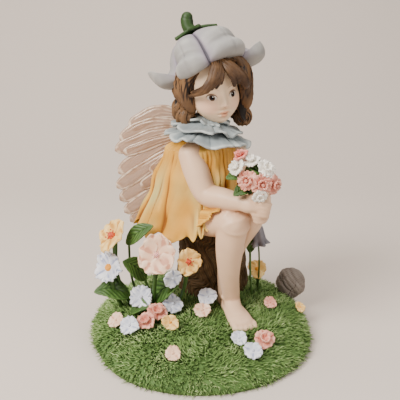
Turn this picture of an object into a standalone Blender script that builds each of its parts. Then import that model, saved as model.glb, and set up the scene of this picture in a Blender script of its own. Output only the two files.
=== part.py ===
# Seated fairy figurine: a girl in a petal dress on a tree stump, on a grassy round base.
# +Z is up, the underside rests on Z = 0 and the viewer stands on the -Y side.
# All sizes below are in millimetres; MM turns them into metres when a mesh is made.
import math

import bmesh
import bpy
import numpy as np
from mathutils import Matrix, Vector
from mathutils.bvhtree import BVHTree

MM = 0.001
GAP = 0.3  # air between two castings that are glued together
SLIVER = 0.02  # corners nearer than this are joined after a cut

# Base
BASE_HALF_X = 54.0
BASE_HALF_Y = 57.0
BASE_SQUARENESS_BACK = 2.4
BASE_FLAT_AT = math.radians(206.0)  # the edge runs a little flatter on this side
BASE_FLAT_DEPTH = 0.04
BASE_FLAT_SPREAD = math.radians(20.0)
MOUND_HEIGHT = 11.8
MOUND_RISE_PER_MM = 0.11
MOUND_EDGE_POWER = 6.0
TUFT_RELIEF = 0.9
MOUND_SECTORS = 64
MOUND_RINGS = (0.96, 0.985, 0.99, 0.975, 0.945, 0.9, 0.84, 0.77, 0.69, 0.61, 0.52, 0.43, 0.33, 0.22, 0.1)

# Stump and stone
STUMP_X = 6.5
STUMP_Y = 31.0
STUMP_TOP_RADIUS = 17.0
STUMP_FOOT_RADIUS = 20.0
STUMP_TOP = 47.0
BARK_RIDGES = 9
BARK_DEPTH = 1.2
STONE_CENTRE = (49.0, 27.0, 16.5)
STONE_HALF = (8.6, 7.6, 8.2)

# The girl: joints of her body, and the way she faces
FACING = math.radians(302.0)
HIP = (-3.0, 21.0, 57.0)
KNEE = (15.0, -9.0, 61.5)
ANKLE = (15.5, 1.0, 19.5)
HEEL = (14.5, 3.5, 14.0)
BALL_OF_FOOT = (19.2, -10.5, 12.6)
OTHER_KNEE_SHIFT = (7.5, 6.5, -0.5)
OTHER_ANKLE = (13.0, 7.5, 19.0)
SPINE = (2.0, 14.0)
SHOULDER = (-4.0, 6.0, 91.0)
ELBOW = (3.0, -3.5, 73.5)
WRIST = (18.5, -14.0, 72.0)
FINGERS = (29.5, -17.5, 70.0)
OTHER_SHOULDER = (17.0, 19.5, 90.0)
OTHER_ELBOW = (24.5, 7.0, 75.0)
OTHER_WRIST = (29.0, -8.0, 72.5)
OTHER_FINGERS = (20.5, -18.0, 69.0)
HEAD = (4.8, 8.0, 123.2)
HEAD_TURN = math.radians(26.0)
HEAD_TILT = math.radians(8.0)
HEAD_NOD = math.radians(17.0)
SKULL_HALF = (13.6, 15.0, 15.5)
HAIR_HALF = (15.0, 16.0, 16.4)
HAIR_SHIFT = 1.5  # the hair is fuller on her left

# Dress: the neck ring, and the hem as azimuth, reach and height
NECK_CENTRE = (0.0, 14.0)
NECK_TOP = 98.0
NECK_RADIUS = 9.0
CHEST_RADIUS = 15.4
HEM_CENTRE = (0.0, 20.0)
HEM = (
    (0, 19.0, 51.0),
    (60, 19.0, 50.0),
    (120, 21.0, 50.0),
    (160, 28.0, 52.0),
    (182, 32.0, 53.0),
    (205, 27.0, 50.0),
    (240, 23.5, 47.0),
    (262, 21.5, 50.5),
    (280, 21.5, 58.0),
    (298, 23.5, 66.0),
    (330, 21.5, 62.0),
)
DRESS_FOLDS = 13
FOLD_DEPTH = 1.5
HEM_POINTS = 13
HEM_POINT_DEPTH = 2.6

# Collar ruffle
COLLAR_CENTRE = (3.8, 9.5, 102.0)
COLLAR_SLOPE = -0.29
COLLAR_INNER = 6.5
COLLAR_THICKNESS = 1.5

# Hat: reach and height of its section from the crown to the rim, along its own axis
HAT_CENTRE = (5.6, 9.5, 128.5)
HAT_LEAN = math.radians(18.0)
HAT_BACK = math.radians(18.0)
HAT_TOP = 18.8
HAT_SECTION = ((3.0, 18.7), (9.0, 17.4), (13.6, 13.8), (16.8, 9.4), (17.4, 5.6), (16.6, 2.6))
HAT_WAIST = 16.4
LOBES = 5
LOBE_FIRST = math.radians(180.0)
LOBE_REACH = (27.0, 20.5, 20.5, 29.0, 26.0)
LOBE_CURL = (8.0, 5.0, 5.0, 10.5, 8.0)
CROWN_SHIFT = 2.4  # the crown sits this far towards her right

# Wings, around the point where the rays of each wing meet: angle above level, reach
WING_ROOT = (-3.0, 22.5, 86.0)
WING_RAYS = (
    (76, 22.0),
    (68, 30.0),
    (42, 32.5),
    (20, 36.5),
    (4, 41.0),
    (-3, 35.5),
    (-10, 39.0),
    (-22, 42.5),
    (-36, 45.2),
    (-46, 47.5),
    (-54, 45.0),
    (-64, 33.0),
    (-74, 18.0),
)
WING_THICKNESS = 0.9
WING_VEIN = 0.5

for old in list(bpy.data.objects):
    bpy.data.objects.remove(old)


def paint(name, colour, roughness):
    """A painted or clear material with one Principled shader."""
    material = bpy.data.materials.new(name)
    material.use_nodes = True
    shader = material.node_tree.nodes["Principled BSDF"]
    shader.inputs["Base Color"].default_value = (*colour, 1.0)
    shader.inputs["Roughness"].default_value = roughness
    shader.inputs["Metallic"].default_value = 0.0
    return material


def smooth_path(knots, steps):
    """Rows along a smooth curve through the knots: x, y, z and any further values."""
    rows = np.array(knots, float)
    padded = np.vstack([2 * rows[0] - rows[1], rows, 2 * rows[-1] - rows[-2]])
    found = []
    for a, b, c, d in zip(padded, padded[1:], padded[2:], padded[3:]):
        for step in range(steps):
            t = step / steps
            bend = (2 * a - 5 * b + 4 * c - d) * t**2 + (3 * b - a - 3 * c + d) * t**3
            found.append(0.5 * (2 * b + (c - a) * t + bend))
    found.append(rows[-1])
    return np.array(found)


def skin(rings, first_pole, last_pole):
    """A closed body over rings of equal length, with a pole at each end."""
    count = len(rings[0])
    points = [first_pole] + [point for ring in rings for point in ring] + [last_pole]
    last = len(points) - 1
    faces = []
    for i in range(count):
        after = (i + 1) % count
        faces.append((0, 1 + after, 1 + i))
        for ring in range(len(rings) - 1):
            here = 1 + ring * count
            below = here + count
            faces.append((here + i, here + after, below + after, below + i))
        end = 1 + (len(rings) - 1) * count
        faces.append((end + i, end + after, last))
    return np.array(points), faces


def hoop(rings):
    """A closed body over rings that run round in a circle."""
    count = len(rings[0])
    total = len(rings)
    points = np.array([point for ring in rings for point in ring])
    faces = []
    for ring in range(total):
        here = ring * count
        below = (ring + 1) % total * count
        for i in range(count):
            after = (i + 1) % count
            faces.append((here + i, here + after, below + after, below + i))
    return points, faces


def tube(path, sides, flat=1.0, side_way=(1.0, 0.0, 0.0)):
    """A round-ended limb along the path, whose fourth value is its radius."""
    centres = path[:, :3]
    radii = path[:, 3]
    along = np.gradient(centres, axis=0)
    along /= np.linalg.norm(along, axis=1)[:, None]
    angles = np.arange(sides) * math.tau / sides
    flats = np.full(len(path), flat) if np.isscalar(flat) else flat
    rings = []

    def ring_at(centre, direction, radius, flatness):
        across = np.array(side_way) - direction * np.dot(side_way, direction)
        across /= np.linalg.norm(across)
        over = np.cross(direction, across)
        spread = np.outer(np.cos(angles), across) + flatness * np.outer(np.sin(angles), over)
        return centre + radius * spread

    for turn in (60, 30):
        back = centres[0] - along[0] * math.sin(math.radians(turn)) * radii[0] * flats[0]
        rings.append(ring_at(back, along[0], radii[0] * math.cos(math.radians(turn)), flats[0]))
    rings += [ring_at(*row) for row in zip(centres, along, radii, flats)]
    for turn in (30, 60):
        ahead = centres[-1] + along[-1] * math.sin(math.radians(turn)) * radii[-1] * flats[-1]
        rings.append(ring_at(ahead, along[-1], radii[-1] * math.cos(math.radians(turn)), flats[-1]))
    start = centres[0] - along[0] * radii[0] * flats[0]
    return skin(rings, start, centres[-1] + along[-1] * radii[-1] * flats[-1])


def flat_ring(ways, normal, start):
    """A unit ring square to the normal, which begins on the side that start names."""
    normal = np.array(normal, float) / np.linalg.norm(normal)
    across = np.array(start, float) - normal * np.dot(start, normal)
    across /= np.linalg.norm(across)
    return np.outer(np.cos(ways), across) + np.outer(np.sin(ways), np.cross(normal, across))


def ball(centre, half, turn=None):
    """An egg-shaped body with half-sizes along its own axes."""
    rings = []
    for step in range(1, 12):
        tilt = math.pi * step / 12
        angles = np.arange(16) * math.tau / 16
        ring = np.stack([np.cos(angles) * math.sin(tilt), np.sin(angles) * math.sin(tilt),
                         np.full(16, math.cos(tilt))], axis=1)
        rings.append(ring * half)
    points, faces = skin(rings, np.array([0, 0, half[2]]), np.array([0, 0, -half[2]]))
    if turn is not None:
        points = points @ turn.T
    return points + np.array(centre), faces


def make(name, bodies, material):
    """One object from one or more closed bodies in millimetres, its faces turned outwards."""
    mesh = bpy.data.meshes.new(name)
    points = []
    faces = []
    for body_points, body_faces in bodies:
        start = len(points)
        points += [tuple(point * MM) for point in body_points]
        faces += [tuple(start + corner for corner in face) for face in body_faces]
    mesh.from_pydata(points, [], faces)
    worked = bmesh.new()
    worked.from_mesh(mesh)
    bmesh.ops.recalc_face_normals(worked, faces=worked.faces)
    bmesh.ops.triangulate(worked, faces=worked.faces)
    worked.to_mesh(mesh)
    worked.free()
    mesh.shade_smooth()
    made = bpy.data.objects.new(name, mesh)
    bpy.context.scene.collection.objects.link(made)
    if material:
        mesh.materials.append(material)
    return made


def bake(target):
    """Applies the object's modifiers in order."""
    bpy.context.view_layer.objects.active = target
    for modifier in list(target.modifiers):
        bpy.ops.object.modifier_apply(modifier=modifier.name)


def clearance(target, gap=GAP):
    """A hidden copy of an object, grown by the gap, that cuts its neighbours."""
    grown = target.copy()
    grown.data = target.data.copy()
    grown.name = target.name + "_clearance"
    bpy.context.scene.collection.objects.link(grown)
    swell = grown.modifiers.new("grow", "DISPLACE")
    swell.strength = gap * MM
    swell.mid_level = 0.0
    bake(grown)
    grown.hide_render = True
    grown.display_type = "WIRE"
    return grown


def trim(target, cutters):
    """Cuts an object back so that it clears each neighbour."""
    for cutter in cutters:
        cut = target.modifiers.new("clear_" + cutter.name, "BOOLEAN")
        cut.operation = "DIFFERENCE"
        cut.use_self = True
        cut.object = cutter
    bake(target)


def keep_largest(target):
    """Drops the crumbs and slivers that a cut leaves, and keeps the main body."""
    worked = bmesh.new()
    worked.from_mesh(target.data)
    unseen = set(worked.verts)
    islands = []
    while unseen:
        island = set()
        frontier = [unseen.pop()]
        while frontier:
            vertex = frontier.pop()
            island.add(vertex)
            for edge in vertex.link_edges:
                other = edge.other_vert(vertex)
                if other in unseen:
                    unseen.discard(other)
                    frontier.append(other)
        islands.append(island)
    islands.sort(key=len)
    for island in islands[:-1]:
        bmesh.ops.delete(worked, geom=list(island), context="VERTS")
    bmesh.ops.remove_doubles(worked, verts=worked.verts, dist=SLIVER * MM)
    bmesh.ops.dissolve_degenerate(worked, dist=SLIVER * MM, edges=worked.edges)
    bmesh.ops.triangulate(worked, faces=worked.faces)
    worked.to_mesh(target.data)
    worked.free()


ROOMS = []


def skin_tree(target):
    worked = bmesh.new()
    worked.from_mesh(target.data)
    tree = BVHTree.FromBMesh(worked)
    worked.free()
    return tree


def seat(target, gap=GAP):
    """Fits an object around all that was placed before it, and keeps room for it in turn."""
    own = skin_tree(target)
    near = [room for room, tree in ROOMS if tree.overlap(own)]
    if near:
        trim(target, near)
        keep_largest(target)
    room = clearance(target, gap)
    ROOMS.append((room, skin_tree(room)))


def axes_towards(direction):
    """A turn whose Z axis points along the direction."""
    return np.array(Vector(direction).normalized().to_track_quat("Z", "Y").to_matrix())


# Ground


def base_reach(angle):
    """Distance from the centre to the base's edge at this azimuth."""
    power = BASE_SQUARENESS_BACK if math.sin(angle) > 0 else 2.0
    along_x = abs(math.cos(angle)) / BASE_HALF_X
    along_y = abs(math.sin(angle)) / BASE_HALF_Y
    off = (angle % math.tau - BASE_FLAT_AT) / BASE_FLAT_SPREAD
    return (along_x**power + along_y**power) ** (-1 / power) * (1 - BASE_FLAT_DEPTH * math.exp(-off * off))


def ground_height(x, y):
    share = math.hypot(x, y) / base_reach(math.atan2(y, x))
    edge = max(0.0, 1 - share**MOUND_EDGE_POWER)
    return (MOUND_HEIGHT + MOUND_RISE_PER_MM * y) * math.sqrt(edge)


def make_ground():
    """The base casting: a mound whose whole skin is carved into grass tufts."""
    rings = []
    for order, share in enumerate(MOUND_RINGS):
        ring = []
        for sector in range(MOUND_SECTORS):
            angle = (sector + 0.5 * (order % 2)) * math.tau / MOUND_SECTORS
            reach = base_reach(angle) * share
            x = reach * math.cos(angle)
            y = reach * math.sin(angle)
            tuft = TUFT_RELIEF * math.sin(2.1 * sector + 2.6 * order) * math.cos(1.9 * order + 0.9 * sector)
            tuft += 0.5 * TUFT_RELIEF + 0.35 * TUFT_RELIEF * math.sin(17.3 * sector + 78.2 * order)
            if order < 2:
                ring.append((x, y, 0.0))
            elif order == 2:
                ring.append((x, y, 1.6 + tuft))
            else:
                ring.append((x, y, ground_height(x, y) + tuft))
        rings.append(np.array(ring))
    top = np.array((0.0, 0.0, ground_height(0.0, 0.0)))
    grass = paint("grass_paint", (0.13, 0.26, 0.06), 0.8)
    return make("ground", [skin(rings, np.zeros(3), top)], grass)


seat(make_ground(), 1.4 * GAP)


# Stump and stone


def make_stump():
    """The tree stump casting: ridged bark that spreads into roots at its foot."""
    bark = paint("bark_paint", (0.07, 0.04, 0.02), 0.8)
    rings = []
    levels = ((0.0, 0.0), (0.14, 0.0), (0.28, 0.0), (0.42, 0.0), (0.56, 0.0), (0.7, 0.0), (0.84, 0.0), (0.97, 0.0),
              (1.0, 1.2), (0.99, 5.0), (0.985, 12.0))
    for level, inset in levels:
        ring = []
        for step in range(54):
            angle = step * math.tau / 54
            foot = (1 - level) ** 2
            radius = STUMP_TOP_RADIUS + (STUMP_FOOT_RADIUS - STUMP_TOP_RADIUS) * foot - inset
            ridge = math.cos(BARK_RIDGES * angle + 1.4 * math.sin(9 * level + 3 * angle) + 2.2 * level)
            depth = BARK_DEPTH * (0.75 + foot) if inset < 2 else 0.1
            radius += depth * ridge
            x = STUMP_X + radius * math.cos(angle)
            y = STUMP_Y + radius * math.sin(angle)
            ring.append((x, y, 8.0 + (STUMP_TOP - 8.0) * level))
        rings.append(np.array(ring))
    foot_pole = np.array((STUMP_X, STUMP_Y, 8.0))
    return make("stump", [skin(rings, foot_pole, np.array((STUMP_X, STUMP_Y, STUMP_TOP - 0.7)))], bark)


seat(make_stump())


def make_stone():
    """A weathered field stone with blunt corners."""
    grey = paint("stone_paint", (0.16, 0.14, 0.13), 0.75)
    points, faces = ball((0, 0, 0), (1, 1, 1))
    lumps = 1 + 0.08 * np.sin(3.1 * points[:, 0] + 2.0) * np.cos(2.7 * points[:, 1])
    lumps += 0.05 * np.sin(4.3 * points[:, 2] + 3.9 * points[:, 0])
    return make("stone", [(points * lumps[:, None] * STONE_HALF + STONE_CENTRE, faces)], grey)


seat(make_stone())


# Hat


def hat_turn():
    leaned = Matrix.Rotation(-HAT_LEAN, 3, "Y")
    back = Matrix.Rotation(-HAT_BACK, 3, "X")
    return np.array(leaned @ back)


def in_hat(x, y, z):
    """A point given from the hat's middle, along its own axes; the crown leans a little further."""
    crown = CROWN_SHIFT * (max(0.0, z) / HAT_TOP) ** 2
    return hat_turn() @ np.array((x - min(crown, 1.6 * CROWN_SHIFT), y, z), float) + np.array(HAT_CENTRE)


def make_hat():
    """The upturned bellflower: five puffed lobes whose tips flare and curl up."""
    lilac = paint("hat_paint", (0.42, 0.42, 0.47), 0.6)
    sectors = 40
    outer = []
    for reach, height in HAT_SECTION:
        ring = []
        for sector in range(sectors):
            way = sector * math.tau / sectors
            seam = abs(math.cos(LOBES * (way - LOBE_FIRST) / 2)) ** 0.45
            swell = 1 - 0.085 * (1 - seam) * min(1.0, reach / 12)
            ring.append(in_hat(reach * swell * math.cos(way), reach * swell * math.sin(way), height))
        outer.append(np.array(ring))

    def brim(share, below, inset=0.0):
        ring = []
        for sector in range(sectors):
            way = sector * math.tau / sectors
            lobe = (way - LOBE_FIRST) / (math.tau / LOBES)
            nearest = round(lobe)
            off = abs(lobe - nearest) * 2
            tip = LOBE_REACH[nearest % LOBES]
            reach = HAT_WAIST - inset + (tip - HAT_WAIST) * share * (1 - off) ** 0.8
            curl = LOBE_CURL[nearest % LOBES] * (share * (1 - off)) ** 2 - 2.2 * share * (1 - 0.3 * off)
            ring.append(in_hat(reach * math.cos(way), reach * math.sin(way), 1.6 + curl - below))
        return np.array(ring)

    outer += [brim(0.35, 0.0), brim(0.7, 0.0), brim(1.0, 0.0), brim(0.97, 1.8, 0.6), brim(0.6, 3.8, 1.4), brim(0.2, 2.8, 3.0)]
    return make("bellflower_hat", [skin(outer, in_hat(0, 0, HAT_TOP), in_hat(0, 0, -0.2))], lilac)


seat(make_hat())


def make_calyx():
    """The flower's green calyx: five sepals on the crown and a thick hooked stem."""
    green = paint("calyx_paint", (0.05, 0.12, 0.03), 0.5)
    sectors = 20
    rings = []
    for share, height in ((0.35, 1.9), (0.7, 1.3), (1.0, 0.9), (1.0, 0.0), (0.6, -0.4)):
        ring = []
        for sector in range(sectors):
            way = sector * math.tau / sectors
            point = (1 - abs(((way - LOBE_FIRST) / (math.tau / LOBES)) % 1 - 0.5) * 2) ** 1.3
            reach = 2.6 + (1.5 + 5.5 * point) * share
            sag = 0.022 * reach**2
            ring.append(in_hat(reach * math.cos(way), reach * math.sin(way), HAT_TOP + 0.4 + height - sag))
        rings.append(np.array(ring))
    stem_knots = ((0.0, 0.0, HAT_TOP + 1.0, 2.2), (0.1, 0.0, HAT_TOP + 4.0, 1.7), (0.0, 0.0, HAT_TOP + 6.6, 2.0),
                  (1.4, -0.6, HAT_TOP + 7.6, 1.7))
    body = make("hat_calyx", [skin(rings, in_hat(0, 0, HAT_TOP + 2.6), in_hat(0, 0, HAT_TOP - 0.1))], green)
    hook = make("stem_tool", [tube(smooth_path([(*in_hat(x, y, z), r) for x, y, z, r in stem_knots], 2), 8)], green)
    join = body.modifiers.new("stem", "BOOLEAN")
    join.operation = "UNION"
    join.object = hook
    bake(body)
    bpy.data.objects.remove(hook)
    return body


seat(make_calyx())


# The girl, who is one casting: body, dress, collar and hair


def limb(*knots):
    return tube(smooth_path(knots, 4), 14)


def head_turn():
    """The head's turn to her left, its tilt towards her right shoulder and its nod."""
    turned = Matrix.Rotation(HEAD_TURN, 3, "Z")
    tilted = Matrix.Rotation(-HEAD_TILT, 3, "Y")
    nodded = Matrix.Rotation(HEAD_NOD, 3, "X")
    return np.array(turned @ tilted @ nodded)


def in_head(x, y, z):
    """A point given from the head's centre: x to her left, -y out of the face, z up."""
    return head_turn() @ np.array((x, y, z), float) + np.array(HEAD)


def body_limbs():
    """Legs, arms, hands, feet and neck, with the head's skull and jaw."""
    knee = np.array(KNEE)
    other_knee = knee + OTHER_KNEE_SHIFT
    legs = [
        limb((*HIP, 9.5), (5.5, 6.5, 58.5, 9.0), (*knee, 7.8), (*(knee + (0, 0.5, -2)), 7.6)),
        limb((*(knee + (0, -0.2, -1)), 7.4), (14.0, -6.5, 47.5, 6.7), (14.0, -3.0, 33.0, 5.2),
             (*ANKLE, 4.2), (*HEEL, 4.1)),
        limb((9.0, 26.0, 57.0, 9.5), (17.0, 11.0, 58.5, 8.6), (*other_knee, 7.6)),
        limb((*(other_knee + (0, 0, -1)), 7.2), (17.0, 2.5, 47.0, 6.0), (13.5, 6.0, 32.0, 4.8),
             (*OTHER_ANKLE, 4.0), (12.5, 8.0, 14.5, 3.8)),
    ]
    feet = [
        tube(smooth_path([(*HEEL, 4.2), (16.3, -3.0, 14.8, 5.0), (*BALL_OF_FOOT, 5.9), (20.6, -13.5, 11.6, 5.6)], 3),
             14, flat=0.55),
        tube(smooth_path([(*ANKLE, 4.0), (16.6, -4.5, 15.6, 4.2), (18.6, -9.5, 13.6, 4.4)], 3), 12, flat=0.7),
    ]
    for toe in range(5):
        out = toe - 2.0
        base = np.array((20.6 + 2.35 * out, -13.4 + 0.35 * out * out * 0.4 + 0.4 * out, 11.6))
        tip = base + np.array((1.0, -4.0 + 0.35 * toe, -0.7))
        feet.append(tube(smooth_path([(*base, 1.9), (*tip, 1.9 - 0.17 * toe)], 2), 10))
    arms = [
        limb((*SHOULDER, 6.2), (-1.6, 2.0, 83.0, 6.2), (*ELBOW, 5.6), (11.0, -9.5, 72.5, 5.0), (*WRIST, 3.9)),
        limb((*OTHER_SHOULDER, 5.8), (20.0, 14.5, 83.0, 5.6), (*OTHER_ELBOW, 5.2), (28.0, -2.0, 73.0, 4.6),
             (*OTHER_WRIST, 3.8)),
        limb((*WRIST, 3.8), (23.0, -16.5, 71.0, 4.2), (*FINGERS, 2.4)),
        limb((*OTHER_WRIST, 3.6), (26.5, -16.0, 69.6, 3.9), (*OTHER_FINGERS, 2.2)),
    ]
    neck = limb((3.5, 12.0, 92.0, 6.0), (5.5, 10.0, 100.0, 4.9), (*in_head(0, 2, -12), 5.2))
    shoulders = limb((*SHOULDER, 5.0), (5.5, 12.5, 93.5, 6.0), (*OTHER_SHOULDER, 5.0))
    face = [
        ball(HEAD, SKULL_HALF, head_turn()),
        ball(in_head(0, -5.2, -6.8), (9.8, 9.4, 9.2), head_turn()),
        ball(in_head(0, -14.6, -4.4), (1.4, 1.6, 1.3), head_turn()),
    ]
    return legs + feet + arms + [neck, shoulders] + face


def hem_at(angle):
    """Reach and height of the dress hem at an azimuth in degrees."""
    table = np.array(HEM, float)
    wrapped = np.vstack([table[-2:] - (360, 0, 0), table, table[:2] + (360, 0, 0)])
    reach = np.interp(angle % 360, wrapped[:, 0], wrapped[:, 1])
    height = np.interp(angle % 360, wrapped[:, 0], wrapped[:, 2])
    return reach, height


def dress_body(sectors, levels):
    """The full dress: gathered at the neck, folded down to a pointed petal hem."""
    rings = []
    for level in range(levels + 1):
        v = level / levels
        ring = []
        for sector in range(sectors):
            angle = 360 * sector / sectors
            way = math.radians(angle)
            reach, hem = hem_at(angle)
            point = abs(math.cos(HEM_POINTS * way / 2)) ** 0.7
            hem -= HEM_POINT_DEPTH * point - 0.5 * HEM_POINT_DEPTH
            chest = NECK_RADIUS + (CHEST_RADIUS - NECK_RADIUS) * min(1.0, v / 0.12)
            radius = chest + (reach - CHEST_RADIUS) * max(0.0, v - 0.06) / 0.94
            sway = 0.9 * math.sin(3 * way + 1.0) + 0.7 * math.sin(2 * way) * v
            fold = math.cos(DRESS_FOLDS * way + sway) + 0.55 * math.cos(7 * way + 2.0 + 1.5 * v)
            radius += FOLD_DEPTH * (0.25 + 0.75 * v) * fold * min(1.0, v / 0.1)
            cx = NECK_CENTRE[0] + (HEM_CENTRE[0] - NECK_CENTRE[0]) * v
            cy = NECK_CENTRE[1] + (HEM_CENTRE[1] - NECK_CENTRE[1]) * v
            z = NECK_TOP + (hem - NECK_TOP) * v
            ring.append((cx + radius * math.cos(way), cy + radius * math.sin(way), z))
        rings.append(np.array(ring))
    lip = rings[-1] - np.array((*HEM_CENTRE, 0.0))
    inner = lip * (0.86, 0.86, 1.0) + np.array((*HEM_CENTRE, 1.2))
    rings.append(inner)
    top = np.array((*NECK_CENTRE, NECK_TOP))
    return skin(rings, top, np.array((2.0, 22.0, 54.0)))


def ruffle(outer, drop, lift, waves, phase, steps):
    """One wavy layer of the collar, a plate that runs round the neck."""
    rings = []
    for step in range(steps):
        way = step * math.tau / steps
        wave = math.cos(waves * way + phase)
        reach = outer + 1.3 * math.cos(waves * way + phase + 0.6)
        section = []
        for share, side in ((0, 1), (0.5, 1), (0.85, 1), (1, 0), (0.85, -1), (0.5, -1), (0, -1)):
            radius = COLLAR_INNER + (reach - COLLAR_INNER) * share
            dx = radius * math.cos(way)
            dy = radius * math.sin(way)
            z = COLLAR_CENTRE[2] + lift + COLLAR_SLOPE * dx - drop * share + 1.5 * wave * share**2
            z += side * COLLAR_THICKNESS / 2
            section.append((COLLAR_CENTRE[0] + dx, COLLAR_CENTRE[1] + dy, z))
        rings.append(np.array(section))
    return hoop(rings)


def hair_lock(turn, end_depth, curl, thickness):
    """One lock from the crown over the side of the head, its end curled inwards."""
    half_x, half_y, half_z = HAIR_HALF
    knots = []
    for share in (0.0, 0.25, 0.5, 0.75, 1.0):
        fall = math.radians(25 + 65 * min(1.0, share * 1.5))
        below = max(0.0, share - 0.6) / 0.4 * end_depth
        bulge = 1 + 0.05 * math.sin(math.pi * share)
        pull = 1 - curl * max(0.0, share - 0.75) / 0.25
        x = half_x * math.sin(fall) * math.sin(turn) * bulge * pull
        y = -half_y * math.sin(fall) * math.cos(turn) * bulge * pull
        z = half_z * math.cos(fall) - below
        knots.append((*in_head(x + HAIR_SHIFT, y, z), thickness * (0.75 + 0.4 * math.sin(math.pi * share))))
    return tube(smooth_path(knots, 3), 8)


def fringe_lock(start, end_x, end_z, thickness):
    """One lock of the fringe, swept from the parting over the forehead."""
    knots = [
        (*in_head(start, -8.0, 14.5), thickness),
        (*in_head(start + 0.45 * (end_x - start), -14.6, 9.5), thickness),
        (*in_head(end_x, -math.sqrt(max(20.0, 15.6**2 - end_x**2)), end_z), 0.55 * thickness),
    ]
    return tube(smooth_path(knots, 4), 8)


def hair_bodies():
    """The bob of hair: a cap, side and back locks, and a parted fringe."""
    bodies = [ball(in_head(0.6, 3.0, 1.5), (14.8, 14.5, 15.0), head_turn())]
    for step in range(19):
        turn = math.radians(62 + 236 * step / 18)
        near_face = abs(math.cos(turn / 2)) ** 2
        her_left = math.exp(-(((turn - math.radians(85.0)) / 0.65) ** 2))
        end_depth = 15.5 + 1.5 * math.sin(4 * turn) - 1.0 * near_face + 6.0 * her_left
        bodies.append(hair_lock(turn, end_depth, 0.04 + 0.04 * math.sin(3 * turn), 2.9))
    for end_x, end_z in ((-12.5, 1.5), (-9.8, 2.6), (-7.0, 3.6), (-4.4, 4.6), (-2.2, 5.6)):
        bodies.append(fringe_lock(-1.5, end_x, end_z, 2.3))
    for end_x, end_z in ((2.2, 6.4), (4.8, 4.8), (7.6, 3.4), (10.2, 2.2), (12.6, 1.2)):
        bodies.append(fringe_lock(1.5, end_x, end_z, 2.3))
    return bodies


def make_girl():
    glaze = paint("girl_paint", (0.72, 0.52, 0.38), 0.5)
    dress = dress_body(78, 12)
    collar = [
        ruffle(19.2, 4.2, -1.8, 8, 0.4, 72),
        ruffle(16.0, 2.0, 1.6, 7, 2.0, 63),
    ]
    girl = make("girl", body_limbs() + [dress] + collar + hair_bodies(), glaze)
    join = girl.modifiers.new("one_casting", "REMESH")
    join.mode = "VOXEL"
    join.voxel_size = 0.65 * MM
    join.use_smooth_shade = True
    soften = girl.modifiers.new("soften", "SMOOTH")
    soften.factor = 0.5
    soften.iterations = 2
    thin = girl.modifiers.new("fewer_faces", "DECIMATE")
    thin.ratio = 0.027
    bake(girl)
    return girl


seat(make_girl())


# Wings


def wing_plate(mirrored):
    """One moulded wing: rays from the root with a raised vein along each."""
    table = np.array(WING_RAYS, float)
    rays = 28
    lengths = 5
    left_way = np.array((math.cos(FACING + math.pi / 2), math.sin(FACING + math.pi / 2), 0.0))
    spine = np.array((*SPINE, 0.0))

    def place(angle, reach, side):
        out = reach * math.cos(angle)
        up = reach * math.sin(angle)
        cup = 0.0016 * reach**2
        point = np.array(WING_ROOT) + np.array((-out, cup + side, up))
        if mirrored:
            point = point - 2 * np.dot(point - spine, left_way) * left_way
        return point

    sheets = []
    for side in (-1, 1):
        rows = []
        for ray in range(rays):
            angle = table[0, 0] + (table[-1, 0] - table[0, 0]) * ray / (rays - 1)
            reach = np.interp(-angle, -table[:, 0], table[:, 1])
            vein = WING_VEIN if ray % 3 == 0 else 0.0
            row = []
            for step in range(lengths):
                share = 0.06 + 0.94 * step / (lengths - 1)
                half = 0.5 * WING_THICKNESS * (1.15 - 0.4 * share) + 0.5 * vein * (1 - share**4)
                row.append(place(math.radians(angle), reach * share, side * half))
            rows.append(row)
        sheets.append(np.array(rows))
    points = np.concatenate([sheets[0].reshape(-1, 3), sheets[1].reshape(-1, 3)])
    faces = []
    half_count = rays * lengths
    for ray in range(rays - 1):
        for step in range(lengths - 1):
            a = ray * lengths + step
            b = a + 1
            c = a + lengths
            d = c + 1
            faces.append((a, b, d, c))
            faces.append((half_count + a, half_count + c, half_count + d, half_count + b))
    border = [step for step in range(lengths)]
    border += [ray * lengths + lengths - 1 for ray in range(1, rays)]
    border += [(rays - 1) * lengths + step for step in range(lengths - 2, -1, -1)]
    border += [ray * lengths for ray in range(rays - 2, 0, -1)]
    for here, after in zip(border, border[1:] + border[:1]):
        faces.append((here, after, half_count + after, half_count + here))
    return points, faces


clear = paint("wing_plastic", (0.62, 0.46, 0.37), 0.25)
for wing_name, mirrored in (("right_wing", False), ("left_wing", True)):
    seat(make(wing_name, [wing_plate(mirrored)], clear))


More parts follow.
